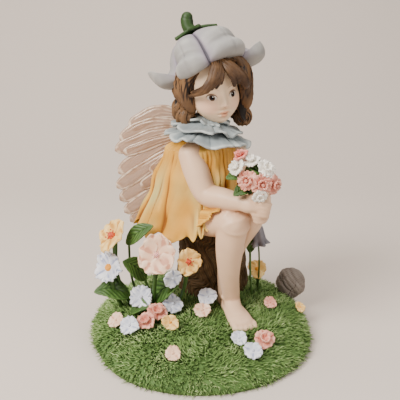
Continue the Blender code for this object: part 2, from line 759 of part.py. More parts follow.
# Flowers that stand on the mound, each cast with its own stem
PETAL_PAINT = {
    "yellow": (0.78, 0.55, 0.20),
    "pink": (0.72, 0.36, 0.30),
    "pale_pink": (0.76, 0.55, 0.44),
    "lilac_white": (0.55, 0.57, 0.66),
    "rose_red": (0.62, 0.16, 0.13),
    "white": (0.80, 0.76, 0.68),
    "bellflower": (0.27, 0.28, 0.36),
    "leaf": (0.07, 0.14, 0.03),
}
FLOWERS = (
    # name, paint, centre, facing, reach, petals, notch, foot
    ("tall_yellow_flower", "yellow", (-43.6, 2.0, 52.8), (-0.45, -0.5, 0.75), 8.6, 5, 0.32, (-34.0, 6.0)),
    ("large_pink_flower", "pale_pink", (-20.4, -6.0, 43.9), (-0.1, -0.9, 0.35), 9.8, 5, 0.14, (-23.0, 3.0)),
    ("yellow_flower_by_stump", "yellow", (-5.6, -4.0, 39.6), (0.35, -0.85, 0.35), 6.6, 5, 0.34, (-12.0, 6.0)),
    ("drooping_blue_flower", "lilac_white", (-13.3, -9.0, 33.4), (0.45, -0.85, -0.05), 4.8, 5, 0.3, (-20.0, 5.0)),
    ("large_lilac_daisy", "lilac_white", (-45.4, 0.0, 36.6), (-0.35, -0.8, 0.4), 8.2, 8, 0.3, (-38.0, 5.0)),
    ("front_daisy", "lilac_white", (-28.8, -3.5, 21.2), (0.0, -0.8, 0.6), 6.0, 8, 0.22, (-28.5, 1.0)),
    ("tilted_blue_flower", "lilac_white", (-13.8, -2.4, 17.0), (0.35, -0.5, 0.75), 5.6, 5, 0.3, (-14.0, -0.5)),
    ("pink_bloom_left", "pink", (-25.5, -15.8, 14.2), (-0.2, -0.6, 0.8), 4.8, 6, 0.25, (-25.5, -14.5)),
    ("pink_bloom_right", "pink", (-20.6, -9.7, 16.2), (0.1, -0.6, 0.8), 5.0, 6, 0.25, (-20.6, -8.2)),
    ("yellow_bloom", "yellow", (-14.1, -16.8, 14.0), (0.25, -0.65, 0.75), 4.2, 5, 0.28, (-14.1, -15.2)),
    ("blue_bloom_left", "lilac_white", (-33.0, -18.9, 13.4), (-0.1, -0.65, 0.75), 4.8, 7, 0.25, (-33.0, -17.4)),
    ("pale_bloom_left", "pale_pink", (-40.2, -11.6, 12.6), (-0.3, -0.6, 0.75), 4.0, 5, 0.3, (-40.2, -10.4)),
    ("blue_flower_by_foot", "lilac_white", (3.5, 1.5, 19.0), (0.1, -0.6, 0.8), 5.0, 5, 0.28, (3.5, 3.0)),
    ("pale_bloom_by_foot", "pale_pink", (1.2, -5.8, 15.2), (-0.1, -0.6, 0.75), 4.2, 5, 0.28, (1.2, -4.4)),
    ("yellow_flower_behind", "yellow", (29.9, 22.0, 26.0), (0.1, -0.85, 0.5), 5.2, 6, 0.25, (31.0, 24.5)),
    ("small_pink_bloom", "pink", (35.2, 3.9, 14.8), (0.1, -0.6, 0.8), 3.4, 5, 0.25, (35.2, 5.2)),
    ("small_yellow_bloom", "yellow", (51.0, 8.3, 10.4), (0.4, -0.5, 0.75), 3.0, 5, 0.25, (49.5, 9.0)),
    ("pink_bloom_by_toes", "pink", (29.1, -28.2, 11.0), (0.15, -0.6, 0.8), 5.0, 5, 0.2, (29.0, -26.6)),
    ("blue_bloom_front", "lilac_white", (23.5, -36.4, 9.9), (0.0, -0.6, 0.8), 4.4, 6, 0.3, (23.4, -35.0)),
    ("blue_bloom_by_toes", "lilac_white", (18.0, -27.0, 11.2), (-0.1, -0.6, 0.8), 3.8, 5, 0.3, (18.0, -25.6)),
    ("pale_bloom_front", "pale_pink", (-11.8, -39.1, 10.0), (0.0, -0.6, 0.8), 3.7, 5, 0.25, (-11.8, -37.8)),
)
PETAL_THICKNESS = 0.9
STEM_RADIUS = 0.9


def flower(centre, facing, reach, petals, notch, end, stem_radius):
    """Open petals round a domed heart, closed behind by the calyx that runs into the stem."""
    turn = axes_towards(facing)
    middle = np.array(centre, float)
    sectors = petals * (4 if reach > 6.4 else 2)
    ways = np.arange(sectors) * math.tau / sectors
    outline = reach * (1 - notch + notch * np.abs(np.cos(petals * ways / 2)) ** 0.6)
    heart = 0.2 * reach
    rings = []

    def ring_of(reaches, height):
        local = np.stack([reaches * np.cos(ways), reaches * np.sin(ways), np.full(sectors, height)], axis=1)
        rings.append(local @ turn.T + middle)

    full = np.ones(sectors)
    ring_of(0.6 * heart * full, 0.2 * reach)
    ring_of(heart * full, 0.04 * reach)
    ring_of(0.62 * outline, 0.1 * reach)
    ring_of(outline, 0.2 * reach)
    ring_of(0.97 * outline, 0.2 * reach - PETAL_THICKNESS)
    ring_of(0.5 * outline, 0.02 * reach - PETAL_THICKNESS)
    ring_of(1.7 * stem_radius * full, -0.6 - PETAL_THICKNESS)
    back = middle - turn[:, 2] * (1.6 + PETAL_THICKNESS)
    middle_knot = 0.5 * (back + end) + 0.12 * (back[2] - end[2]) * turn[:, 2] * (1, 1, 0)
    for way_point in smooth_path([back, middle_knot, end], 2 if back[2] - end[2] > 12.0 else 1):
        nearer_end = np.linalg.norm(way_point - back) / max(0.1, np.linalg.norm(end - back))
        lean = turn[:, 2] * (1 - nearer_end) + np.array((0.0, 0.0, 1.0)) * nearer_end
        rings.append(way_point + stem_radius * flat_ring(ways, lean, turn[:, 0]))
    return skin(rings, middle + turn[:, 2] * 0.26 * reach, rings[-1].mean(axis=0))


def leaf(base, tip, rise, width, foot):
    """A pointed leaf, thicker along its rib, in one piece with its stalk from the ground."""
    low = np.array(base, float)
    high = np.array(tip, float)
    down = np.array((*foot, ground_height(*foot) - 2.0))
    knots = [(*down, 0.9, 1.0), (*(0.5 * (low + down) - 0.1 * (high - low) * (1, 1, 0)), 0.8, 1.0)]
    for share, wide, flat in ((0.0, 0.22, 1.0), (0.3, 0.9, 0.3), (0.6, 1.0, 0.25), (0.85, 0.6, 0.3), (1.0, 0.12, 1.0)):
        point = low + (high - low) * share + np.array((0.0, 0.0, rise * math.sin(math.pi * share)))
        knots.append((*point, 0.5 * width * wide, flat))
    path = np.array(knots)
    return tube(path[:, :4], 8, flat=path[:, 4], side_way=np.cross(high - low, (0.0, -0.7, 0.7)))


paints = {name: paint(name + "_paint", colour, 0.5) for name, colour in PETAL_PAINT.items()}
for name, colour, centre, facing, reach, petals, notch, foot in FLOWERS:
    end = np.array((*foot, ground_height(*foot) - 2.0))
    seat(make(name, [flower(centre, facing, reach, petals, notch, end, STEM_RADIUS)], paints[colour]))

LEAVES = (
    # name, stalk end of the blade, tip, rise, width, foot
    ("top_leaf", (-35.0, 3.5, 47.0), (-23.5, 0.0, 56.5), 1.5, 6.5, (-30.0, 8.0)),
    ("middle_leaf", (-29.0, 1.0, 28.0), (-35.5, -6.0, 36.0), 2.0, 7.5, (-26.0, 6.0)),
    ("left_low_leaf", (-36.0, 2.0, 17.0), (-50.0, -1.0, 18.5), 3.5, 8.0, (-35.0, 3.5)),
    ("right_low_leaf", (-21.5, 1.0, 16.0), (-13.5, -3.5, 22.5), 2.5, 8.0, (-22.0, 2.0)),
    ("dark_front_leaf", (-33.0, -3.0, 13.5), (-32.0, -11.0, 14.5), 2.0, 6.0, (-33.0, -2.0)),
    ("leaf_behind_knee", (27.5, 17.0, 34.0), (25.0, 12.5, 50.5), 1.0, 5.0, (29.5, 15.5)),
)
for name, *shape in LEAVES:
    seat(make(name, [leaf(*shape)], paints["leaf"]))


def bell(mouth, crown, foot):
    """A drooping bell on a stalk that rises from the ground and hooks over."""
    top = np.array(crown, float)
    axis = np.array(mouth, float) - top
    ways = np.arange(15) * math.tau / 15
    rings = []
    down = np.array((*foot, ground_height(*foot) - 2.0))
    side = (1.0, 0.0, 0.0)
    rise = top + np.array((0.2, 4.6, -1.5))
    for point in smooth_path([down, 0.5 * (down + rise) + side, rise], 1):
        rings.append(point + 0.8 * flat_ring(ways, (0.0, 0.0, 1.0), side))
    rings.append(top + (0.1, 3.4, 1.9) + 0.8 * flat_ring(ways, (0.0, -0.7, 0.7), side))
    rings.append(top + (0.0, 1.6, 2.2) + 0.8 * flat_ring(ways, (0.0, -0.9, -0.4), side))
    for share, radius in ((0.03, 1.3), (0.2, 3.0), (0.55, 3.5), (0.85, 4.3), (1.0, 5.2), (0.97, 4.4), (0.6, 2.7), (0.3, 2.0)):
        flare = 1 + 0.16 * np.cos(5 * ways) * (share > 0.8)
        rings.append(top + axis * share + radius * flare[:, None] * flat_ring(ways, axis, side))
    return skin(rings, down, top + axis * 0.22)


seat(make("bellflower_behind_knee", [bell((31.2, 13.5, 41.0), (28.4, 14.0, 53.5), (30.5, 19.0))], paints["bellflower"]))

# Bouquet: a leafy core held in the hands, with blooms set round it
BOUQUET_CORE = (24.8, -13.5, 82.0)
BOUQUET_HALF = (8.0, 4.6, 8.0)
BLOOMS = (
    # name, paint, centre, reach, petals
    ("bouquet_rose", "rose_red", (17.4, -14.5, 94.0), 3.6, 5),
    ("bouquet_white_left", "white", (16.0, -17.5, 89.4), 3.9, 6),
    ("bouquet_white_top", "white", (22.6, -15.8, 91.6), 3.6, 6),
    ("bouquet_white_right", "white", (29.8, -17.6, 88.4), 3.8, 6),
    ("bouquet_white_low", "white", (25.2, -21.6, 76.6), 3.4, 6),
    ("bouquet_pink_left", "pink", (20.6, -19.4, 83.6), 4.2, 7),
    ("bouquet_pink_middle", "pink", (27.6, -19.4, 81.8), 4.4, 7),
    ("bouquet_pink_right", "pink", (33.6, -16.4, 81.0), 4.2, 7),
)


def make_core():
    """Short stems bound in the hands that swell into a leafy core."""
    knots = [(24.0, -15.5, 72.0, 2.0), (24.5, -14.0, 76.0, 3.0), (24.8, -13.5, 80.0, 5.2), (24.6, -13.5, 86.0, 5.0),
             (24.0, -13.5, 89.5, 3.0)]
    return make("bouquet_greens", [tube(smooth_path(knots, 2), 12)], paints["leaf"])


seat(make_core())
for name, colour, centre, reach, petals in BLOOMS:
    core = np.array(BOUQUET_CORE)
    facing = (np.array(centre) - core) / BOUQUET_HALF
    facing /= np.linalg.norm(facing)
    end = core + 0.3 * (np.array(centre) - core)
    seat(make(name, [flower(centre, facing, reach, petals, 0.2, end, 1.3)], paints[colour]))
BOUQUET_LEAVES = (
    ("bouquet_leaf_upper", (19.5, -16.0, 84.5), (11.5, -17.0, 83.8), 0.8, 5.0),
    ("bouquet_leaf_lower", (21.5, -16.5, 79.0), (14.8, -19.5, 76.6), 0.8, 5.4),
)
for name, base, tip, rise, width in BOUQUET_LEAVES:
    low = np.array(base)
    high = np.array(tip)
    knots = []
    for share, wide in ((0.0, 0.35), (0.35, 0.95), (0.7, 0.85), (1.0, 0.15)):
        point = low + (high - low) * share + np.array((0.0, 0.0, rise * math.sin(math.pi * share)))
        knots.append((*point, 0.5 * width * wide))
    blade = tube(np.array(knots), 8, flat=0.3, side_way=np.cross(high - low, (0.0, -0.8, 0.6)))
    seat(make(name, [blade], paints["leaf"]))
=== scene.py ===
import math

import bpy
import numpy as np
from mathutils import Matrix, Vector


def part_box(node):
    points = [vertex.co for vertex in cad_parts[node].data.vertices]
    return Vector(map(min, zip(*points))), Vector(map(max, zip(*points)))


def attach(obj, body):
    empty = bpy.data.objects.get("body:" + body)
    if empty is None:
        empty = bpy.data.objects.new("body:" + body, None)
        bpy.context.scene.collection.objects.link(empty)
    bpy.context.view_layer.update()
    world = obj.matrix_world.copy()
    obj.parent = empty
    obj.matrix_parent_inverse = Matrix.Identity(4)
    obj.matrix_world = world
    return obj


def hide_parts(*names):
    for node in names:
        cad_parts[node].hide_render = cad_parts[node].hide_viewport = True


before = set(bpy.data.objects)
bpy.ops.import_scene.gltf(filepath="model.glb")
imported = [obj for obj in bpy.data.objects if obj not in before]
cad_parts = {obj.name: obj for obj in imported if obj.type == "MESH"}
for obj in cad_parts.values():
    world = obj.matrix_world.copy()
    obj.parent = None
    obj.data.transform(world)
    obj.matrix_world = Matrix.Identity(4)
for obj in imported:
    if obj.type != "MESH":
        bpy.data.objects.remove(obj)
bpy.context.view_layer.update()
MM = 0.001

# Camera
# The photographer stood close, a little above the hat, and looked slightly down on the seated girl.
CAMERA_PLACE = (0.0, -288.5 * MM, 146.7 * MM)
CAMERA_DOWN = 15.0  # degrees below level
CAMERA_LENS = 56.7
bpy.ops.object.select_all(action="DESELECT")
bpy.ops.object.camera_add(location=CAMERA_PLACE, rotation=(math.radians(90 - CAMERA_DOWN), 0.0, 0.0))
bpy.context.scene.camera = bpy.context.object
bpy.context.object.data.lens = CAMERA_LENS

# Ground
# The base is one resin casting: a round mound whose whole skin is carved into short grass.
# It is painted dark green, and its tips are brushed with a lighter green.
BASE_HALF_X = 54.0
BASE_HALF_Y = 57.0
BACK_SQUARENESS = 2.4
FLAT_AT = math.radians(206.0)
FLAT_DEPTH = 0.04
FLAT_SPREAD = math.radians(20.0)
MOUND_HEIGHT = 11.8
MOUND_RISE = 0.11
MOUND_EDGE_POWER = 6.0
BLADE_COUNT = 13500
BLADE_LENGTH = 3.4
BLADE_WIDTH = 0.5
BLADE_FOOT_SHADE = 0.24
STEM_DEPTH = 1.0  # how far a flower's stem goes into the mound
BLADES_ON_RIM = 0.17  # their share of all blades
SOIL_SHADE = 0.28


def bend_grid(name, columns, rows, shape):
    """A flat grid of faces bent to shape(u, v), in millimetres; edges that meet are joined."""
    bpy.ops.object.select_all(action="DESELECT")
    bpy.ops.mesh.primitive_grid_add(x_subdivisions=columns, y_subdivisions=rows, size=2.0)
    piece = bpy.context.object
    piece.name = name
    mesh = piece.data
    flat = np.empty(3 * len(mesh.vertices))
    mesh.vertices.foreach_get("co", flat)
    flat = flat.reshape(-1, 3)
    bent = MM * np.stack(shape((flat[:, 0] + 1) / 2, (flat[:, 1] + 1) / 2), axis=1)
    mesh.vertices.foreach_set("co", bent.ravel())
    mesh.update()
    bpy.ops.object.mode_set(mode="EDIT")
    bpy.ops.mesh.select_all(action="SELECT")
    bpy.ops.mesh.remove_doubles(threshold=1e-6)
    bpy.ops.mesh.normals_make_consistent(inside=False)
    bpy.ops.object.mode_set(mode="OBJECT")
    return piece


def shape_points(piece):
    """The piece's corners in millimetres."""
    found = np.empty(3 * len(piece.data.vertices))
    piece.data.vertices.foreach_get("co", found)
    return found.reshape(-1, 3) / MM


def move_points(piece, points):
    piece.data.vertices.foreach_set("co", (points * MM).ravel())
    piece.data.update()


def mark(piece, name, values):
    """Stores one number for each corner, for a material to read."""
    layer = piece.data.attributes.new(name, "FLOAT", "POINT")
    layer.data.foreach_set("value", np.clip(values, 0.0, 1.0).astype(np.float32))


def mark_even(piece, level):
    """Gives a small smooth piece one relief value, so that it takes even paint."""
    mark(piece, "relief", np.full(len(piece.data.vertices), level))


def mark_relief(piece, passes, depth):
    """Stores how far each corner stands out of its surroundings: 0 in a hollow, 1 on a ridge."""
    mesh = piece.data
    places = shape_points(piece)
    edges = np.empty(2 * len(mesh.edges), int)
    mesh.edges.foreach_get("vertices", edges)
    edges = edges.reshape(-1, 2)
    ends = np.concatenate([edges[:, 0], edges[:, 1]])
    others = np.concatenate([edges[:, 1], edges[:, 0]])
    count = np.maximum(1, np.bincount(ends, minlength=len(places)))
    even = places.copy()
    for _ in range(passes):
        sums = [np.bincount(ends, even[others, axis], len(places)) for axis in range(3)]
        even = np.stack(sums, axis=1) / count[:, None]
    normals = np.empty(3 * len(places))
    mesh.vertex_normals.foreach_get("vector", normals)
    out = ((places - even) * normals.reshape(-1, 3)).sum(axis=1)
    mark(piece, "relief", 0.5 + 0.5 * out / depth)


def apply_modifiers(piece):
    bpy.ops.object.select_all(action="DESELECT")
    piece.select_set(True)
    bpy.context.view_layer.objects.active = piece
    for modifier in list(piece.modifiers):
        bpy.ops.object.modifier_apply(modifier=modifier.name)


def thicken(piece, thickness, offset=0.0):
    """Gives a thin sheet its wall, in millimetres."""
    wall = piece.modifiers.new("wall", "SOLIDIFY")
    wall.thickness = thickness * MM
    wall.offset = offset
    apply_modifiers(piece)


def round_body(name, subdivisions):
    """A ball of even faces, and the way from its centre to each of its corners."""
    bpy.ops.object.select_all(action="DESELECT")
    bpy.ops.mesh.primitive_ico_sphere_add(subdivisions=subdivisions, radius=1.0)
    piece = bpy.context.object
    piece.name = name
    return piece, np.array([corner.co for corner in piece.data.vertices])


def join(pieces, name):
    """Several pieces made into one object."""
    bpy.ops.object.select_all(action="DESELECT")
    for piece in pieces:
        piece.select_set(True)
    bpy.context.view_layer.objects.active = pieces[0]
    bpy.ops.object.join()
    pieces[0].name = name
    return pieces[0]


def settle(piece, material, slot, *nodes):
    """Gives a finished piece its paint and its place in the part."""
    piece.data.materials.clear()
    piece.data.materials.append(material)
    piece.data.shade_smooth()
    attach(piece, "root")
    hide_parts(*nodes)


def hand_painting():
    """Paint by hand: a dark wash in hollows, a dry brush over ridges, and uneven colour."""
    group = bpy.data.node_groups.new("hand_painting", "ShaderNodeTree")
    for label in ("Paint", "Second paint", "Wash", "Brushed"):
        group.interface.new_socket(name=label, in_out="INPUT", socket_type="NodeSocketColor")
    for label in ("Wash amount", "Brush amount", "Mottle size"):
        group.interface.new_socket(name=label, in_out="INPUT", socket_type="NodeSocketFloat")
    group.interface.new_socket(name="Colour", in_out="OUTPUT", socket_type="NodeSocketColor")
    group.interface.new_socket(name="Grain", in_out="OUTPUT", socket_type="NodeSocketFloat")
    nodes = group.nodes
    links = group.links
    given = nodes.new("NodeGroupInput")
    put_out = nodes.new("NodeGroupOutput")
    places = nodes.new("ShaderNodeTexCoord")
    relief = nodes.new("ShaderNodeAttribute")
    relief.attribute_name = "relief"
    tint = nodes.new("ShaderNodeAttribute")
    tint.attribute_name = "tint"
    mottle = nodes.new("ShaderNodeTexNoise")
    links.new(places.outputs["Object"], mottle.inputs["Vector"])
    links.new(given.outputs["Mottle size"], mottle.inputs["Scale"])
    mottle.inputs["Detail"].default_value = 3.0

    def mixed(amount, first, second):
        mix = nodes.new("ShaderNodeMix")
        mix.data_type = "RGBA"
        links.new(amount, mix.inputs["Factor"])
        links.new(first, mix.inputs["A"])
        links.new(second, mix.inputs["B"])
        return mix.outputs["Result"]

    def ranged(value, low, high):
        fit = nodes.new("ShaderNodeMapRange")
        fit.interpolation_type = "SMOOTHSTEP"
        fit.inputs["From Min"].default_value = low
        fit.inputs["From Max"].default_value = high
        links.new(value, fit.inputs["Value"])
        return fit.outputs["Result"]

    def scaled(value, amount):
        product = nodes.new("ShaderNodeMath")
        product.operation = "MULTIPLY"
        links.new(value, product.inputs[0])
        links.new(amount, product.inputs[1])
        return product.outputs["Value"]

    base = mixed(tint.outputs["Fac"], given.outputs["Paint"], given.outputs["Second paint"])
    hollow = scaled(ranged(relief.outputs["Fac"], 0.52, 0.15), given.outputs["Wash amount"])
    ridge = scaled(ranged(relief.outputs["Fac"], 0.5, 0.9), given.outputs["Brush amount"])
    ridge = scaled(ridge, ranged(mottle.outputs["Fac"], 0.3, 0.6))
    washed = mixed(hollow, base, given.outputs["Wash"])
    brushed = mixed(ridge, washed, given.outputs["Brushed"])
    uneven = nodes.new("ShaderNodeHueSaturation")
    bright = nodes.new("ShaderNodeMapRange")
    bright.inputs["To Min"].default_value = 0.86
    bright.inputs["To Max"].default_value = 1.14
    links.new(mottle.outputs["Fac"], bright.inputs["Value"])
    links.new(bright.outputs["Result"], uneven.inputs["Value"])
    links.new(brushed, uneven.inputs["Color"])
    links.new(uneven.outputs["Color"], put_out.inputs["Colour"])
    links.new(mottle.outputs["Fac"], put_out.inputs["Grain"])
    return group


HAND_PAINTING = hand_painting()


def painted(name, paint, wash, brushed, roughness=0.55, second=None, wash_amount=0.8, brush_amount=0.6,
            mottle=350.0, grain=0.08):
    """A hand-painted finish; its shader and its shared painting group."""
    material = bpy.data.materials.new(name)
    material.use_nodes = True
    nodes = material.node_tree.nodes
    links = material.node_tree.links
    shader = nodes["Principled BSDF"]
    shader.inputs["Roughness"].default_value = roughness
    shader.inputs["Specular IOR Level"].default_value = 0.35
    effect = nodes.new("ShaderNodeGroup")
    effect.node_tree = HAND_PAINTING
    effect.name = "Hand painting"
    colours = {"Paint": paint, "Second paint": second or paint, "Wash": wash, "Brushed": brushed}
    for label, colour in colours.items():
        effect.inputs[label].default_value = (*colour, 1.0)
    effect.inputs["Wash amount"].default_value = wash_amount
    effect.inputs["Brush amount"].default_value = brush_amount
    effect.inputs["Mottle size"].default_value = mottle
    links.new(effect.outputs["Colour"], shader.inputs["Base Color"])
    bump = nodes.new("ShaderNodeBump")
    bump.inputs["Strength"].default_value = grain
    bump.inputs["Distance"].default_value = 0.3 * MM
    links.new(effect.outputs["Grain"], bump.inputs["Height"])
    links.new(bump.outputs["Normal"], shader.inputs["Normal"])
    return material


def base_reach(angle):
    """Distance from the centre to the base's edge at each azimuth."""
    power = np.where(np.sin(angle) > 0, BACK_SQUARENESS, 2.0)
    along_x = np.abs(np.cos(angle)) / BASE_HALF_X
    along_y = np.abs(np.sin(angle)) / BASE_HALF_Y
    off = (angle % math.tau - FLAT_AT) / FLAT_SPREAD
    return (along_x**power + along_y**power) ** (-1 / power) * (1 - FLAT_DEPTH * np.exp(-off * off))


def ground_height(x, y):
    share = np.hypot(x, y) / base_reach(np.arctan2(y, x))
    edge = np.clip(1 - share**MOUND_EDGE_POWER, 0.0, 1.0)
    return (MOUND_HEIGHT + MOUND_RISE * y) * np.sqrt(edge)


def foot_in_ground(foot):
    """The end of a stem, a little way into the mound."""
    return np.array((*foot, float(ground_height(np.array(foot[0]), np.array(foot[1]))) - STEM_DEPTH))


def waves(x, y, size, seed):
    """A soft, even unrest over a plane, between about -1 and 1."""
    total = np.zeros_like(x)
    chance = np.random.default_rng(seed)
    turns = chance.uniform(0, math.tau, 7)
    phases = chance.uniform(0, 9, 7)
    for turn, phase, scale in zip(turns, phases, chance.uniform(0.7, 1.5, 7)):
        total += np.sin((x * math.cos(turn) + y * math.sin(turn)) * math.tau / (size * scale) + phase)
    return total / 3.0


def mound(u, v):
    angle = u * math.tau
    side = np.clip((v - 0.8) / 0.2, 0.0, 1.0)
    share = np.where(v < 0.8, np.sin(np.clip(v / 0.8, 0, 1) * math.pi / 2), 1.0)
    under = np.clip((v - 0.9) / 0.1, 0.0, 1.0)
    inwards = np.where(v < 0.9, 0.0, under)
    reach = base_reach(angle) * share * (1 - inwards) * (1 - 0.012 * np.sin(side * math.pi))
    x = reach * np.cos(angle)
    y = reach * np.sin(angle)
    unrest = 0.35 * waves(x, y, 6.0, 3)
    top = ground_height(x, y) + unrest * (v < 0.8)
    z = np.where(v < 0.8, np.maximum(1.4, top), np.where(v < 0.9, 1.4 * (1 - (v - 0.8) / 0.1), 0.0))
    return x, y, np.clip(z, 0.0, None)


grass_paint = painted("grass_paint", (0.155, 0.27, 0.07), (0.035, 0.085, 0.018), (0.48, 0.60, 0.27), 0.75,
                      wash_amount=0.9, brush_amount=0.85, mottle=120.0)
ground_skin = bend_grid("ground_skin", 240, 150, mound)
mark_even(ground_skin, SOIL_SHADE)
settle(ground_skin, grass_paint, "grass", "ground")


def scatter(name, model, places, turns, sizes, shades):
    """One mesh that holds a copy of the model at each place, each copy lighter towards its tip."""
    model_points = shape_points(model)
    model_faces = [tuple(face.vertices) for face in model.data.polygons]
    bpy.data.objects.remove(model)
    points = np.einsum("nij,kj->nki", turns, model_points) * sizes[:, None, None] + places[:, None, :]
    faces = []
    for copy in range(len(places)):
        start = copy * len(model_points)
        faces += [tuple(start + corner for corner in face) for face in model_faces]
    mesh = bpy.data.meshes.new(name)
    mesh.from_pydata((points.reshape(-1, 3) * MM).tolist(), [], faces)
    piece = bpy.data.objects.new(name, mesh)
    bpy.context.scene.collection.objects.link(piece)
    height = model_points[:, 2] - model_points[:, 2].min()
    along = np.tile(height / height.max(), len(places)) * np.repeat(shades, len(model_points))
    mark(piece, "relief", BLADE_FOOT_SHADE + (1 - BLADE_FOOT_SHADE) * along)
    return piece


def frames_towards(directions, roll):
    """Turns whose Z axis points along each direction, rolled about it."""
    z = directions / np.linalg.norm(directions, axis=1)[:, None]
    x = np.cross(np.array((0.31, 0.17, 0.93)), z)
    x /= np.linalg.norm(x, axis=1)[:, None]
    y = np.cross(z, x)
    rolled = x * np.cos(roll)[:, None] + y * np.sin(roll)[:, None]
    return np.stack([rolled, np.cross(z, rolled), z], axis=2)


def grass_blade():
    """A three-sided blade that bends over a little and ends in a point."""
    bpy.ops.object.select_all(action="DESELECT")
    bpy.ops.mesh.primitive_cone_add(vertices=3, radius1=1.0, radius2=0.62, depth=1.0, location=(0, 0, 0))
    blade = bpy.context.object
    bpy.ops.object.mode_set(mode="EDIT")
    bpy.ops.mesh.select_all(action="DESELECT")
    bpy.ops.object.mode_set(mode="OBJECT")
    for face in blade.data.polygons:
        face.select = face.normal.z > 0.9
    bpy.ops.object.mode_set(mode="EDIT")
    bpy.ops.mesh.extrude_region_move(TRANSFORM_OT_translate={"value": (0.0, 0.0, 1.0)})
    bpy.ops.mesh.merge(type="CENTER")
    bpy.ops.object.mode_set(mode="OBJECT")
    points = np.array([corner.co for corner in blade.data.vertices])
    points[:, 2] += 0.5
    points[:, 0] *= BLADE_WIDTH
    points[:, 1] *= 0.55 * BLADE_WIDTH
    points[:, 2] *= 0.5 * BLADE_LENGTH
    points[:, 0] += 0.09 * points[:, 2] ** 2
    move_points(blade, points)
    return blade


def grass_blades():
    chance = np.random.default_rng(11)
    angle = chance.uniform(0, math.tau, BLADE_COUNT)
    share = np.sqrt(chance.uniform(0.0, 1.0, BLADE_COUNT))
    over_edge = chance.uniform(0, 1, BLADE_COUNT) < BLADES_ON_RIM
    share = np.where(over_edge, 0.997, share)
    reach = base_reach(angle) * share
    x = reach * np.cos(angle)
    y = reach * np.sin(angle)
    z = ground_height(x, y) + 0.1
    low = chance.uniform(0.0, 1.0, BLADE_COUNT)
    rim_height = 1.0 + (ground_height(x * 0.97, y * 0.97) - 1.0) * low
    z = np.where(over_edge, rim_height, z)
    steep = np.clip((share - 0.7) / 0.3, 0, 1)
    swirl = angle + 1.3 * waves(x, y, 26.0, 5) + chance.normal(0, 0.4, BLADE_COUNT)
    out = np.stack([np.cos(swirl), np.sin(swirl), np.zeros_like(x)], axis=1)
    radial = np.stack([np.cos(angle), np.sin(angle), np.zeros_like(x)], axis=1)
    lean = chance.uniform(0.55, 1.35, BLADE_COUNT)
    way = out * lean[:, None] * (1 - 0.7 * steep)[:, None] + radial * (0.95 * steep)[:, None]
    way[:, 2] = 0.75 - 0.75 * steep - 0.55 * over_edge * (0.35 + low)
    way += chance.normal(0, 0.12, way.shape)
    sizes = chance.uniform(0.7, 1.15, BLADE_COUNT) * np.where(over_edge, 0.8, 1.0) * (1 - 0.15 * steep)
    sizes *= np.where(over_edge & (z < 2.5), 0.6, 1.0)
    places = np.stack([x, y, z], axis=1) - radial * (0.8 * over_edge)[:, None]
    places[:, 2] = np.maximum(places[:, 2], 0.9)
    shades = (chance.uniform(0.45, 1.1, BLADE_COUNT) + 0.25 * waves(x, y, 16.0, 8)) * (1 - 0.35 * over_edge)
    turns = frames_towards(way, chance.uniform(0, math.tau, BLADE_COUNT))
    blades = scatter("grass_blades", grass_blade(), places, turns, sizes, shades)
    points = shape_points(blades)
    points[:, 2] = np.maximum(points[:, 2], 0.15)
    move_points(blades, points)
    return blades


settle(grass_blades(), grass_paint, "grass", "ground")

# Stump
# The seat is a resin tree stump with a swirl of knotted bark.
# It is painted dark brown and its ridges are brushed with tan; it is glued into the ground.
STUMP_PLACE = (6.5, 31.0)
STUMP_TOP_RADIUS = 17.0
STUMP_FOOT_RADIUS = 20.0
STUMP_FOOT = 8.0
STUMP_TOP = 47.0
SEAT_FROM = 0.85  # where the bark ends and the top begins, along the grid
RIDGE_HEIGHT = 0.9
FIBRE_HEIGHT = 0.5
HAIR_HEIGHT = 0.13
KNOT_HEIGHT = 0.5
# Azimuth of each knot, and how high it lies as a share of the stump
KNOTS = ((4.35, 0.62), (4.9, 0.3), (3.7, 0.4), (5.6, 0.55), (1.2, 0.5), (2.4, 0.35))


def bark(u, v):
    angle = u * math.tau
    level = np.clip(v / SEAT_FROM, 0, 1)
    inset = np.clip((v - SEAT_FROM) / (1 - SEAT_FROM), 0, 1)
    foot = (1 - level) ** 2
    radius = STUMP_TOP_RADIUS + (STUMP_FOOT_RADIUS - STUMP_TOP_RADIUS) * foot
    swirl = angle + 0.16 * np.sin(9.0 * level + 3 * angle) + 0.07 * np.sin(21.0 * level + 5 * angle)
    ridges = np.abs(np.sin(9 * swirl + 2.2 * level)) ** 0.8 - 0.6
    fibres = np.abs(np.sin(31 * swirl + 6 * np.sin(5.0 * level + 2 * angle))) - 0.6
    hairs = np.sin(83 * swirl + 9 * level)
    knots = np.zeros_like(angle)
    for knot_angle, knot_level in KNOTS:
        away = np.hypot((angle - knot_angle) * 3.2, (level - knot_level) * 6.5)
        knots += np.exp(-away * away) * (0.5 + 0.9 * np.cos(9 * away))
    relief = (RIDGE_HEIGHT + 0.8 * foot) * ridges + FIBRE_HEIGHT * fibres
    relief += HAIR_HEIGHT * hairs + KNOT_HEIGHT * knots
    radius = (radius + relief * (1 - inset)) * (1 - inset**1.5)
    x = STUMP_PLACE[0] + radius * np.cos(angle)
    y = STUMP_PLACE[1] + radius * np.sin(angle)
    return x, y, STUMP_FOOT + (STUMP_TOP - STUMP_FOOT) * level - 0.3 * inset


stump_bark = bend_grid("stump_bark", 420, 150, bark)
mark_relief(stump_bark, 14, 0.7)
bark_paint = painted("bark_paint", (0.085, 0.047, 0.017), (0.026, 0.014, 0.006), (0.22, 0.135, 0.055), 0.7,
                     wash_amount=0.7, brush_amount=0.7, mottle=500.0, grain=0.2)
settle(stump_bark, bark_paint, "bark", "stump")

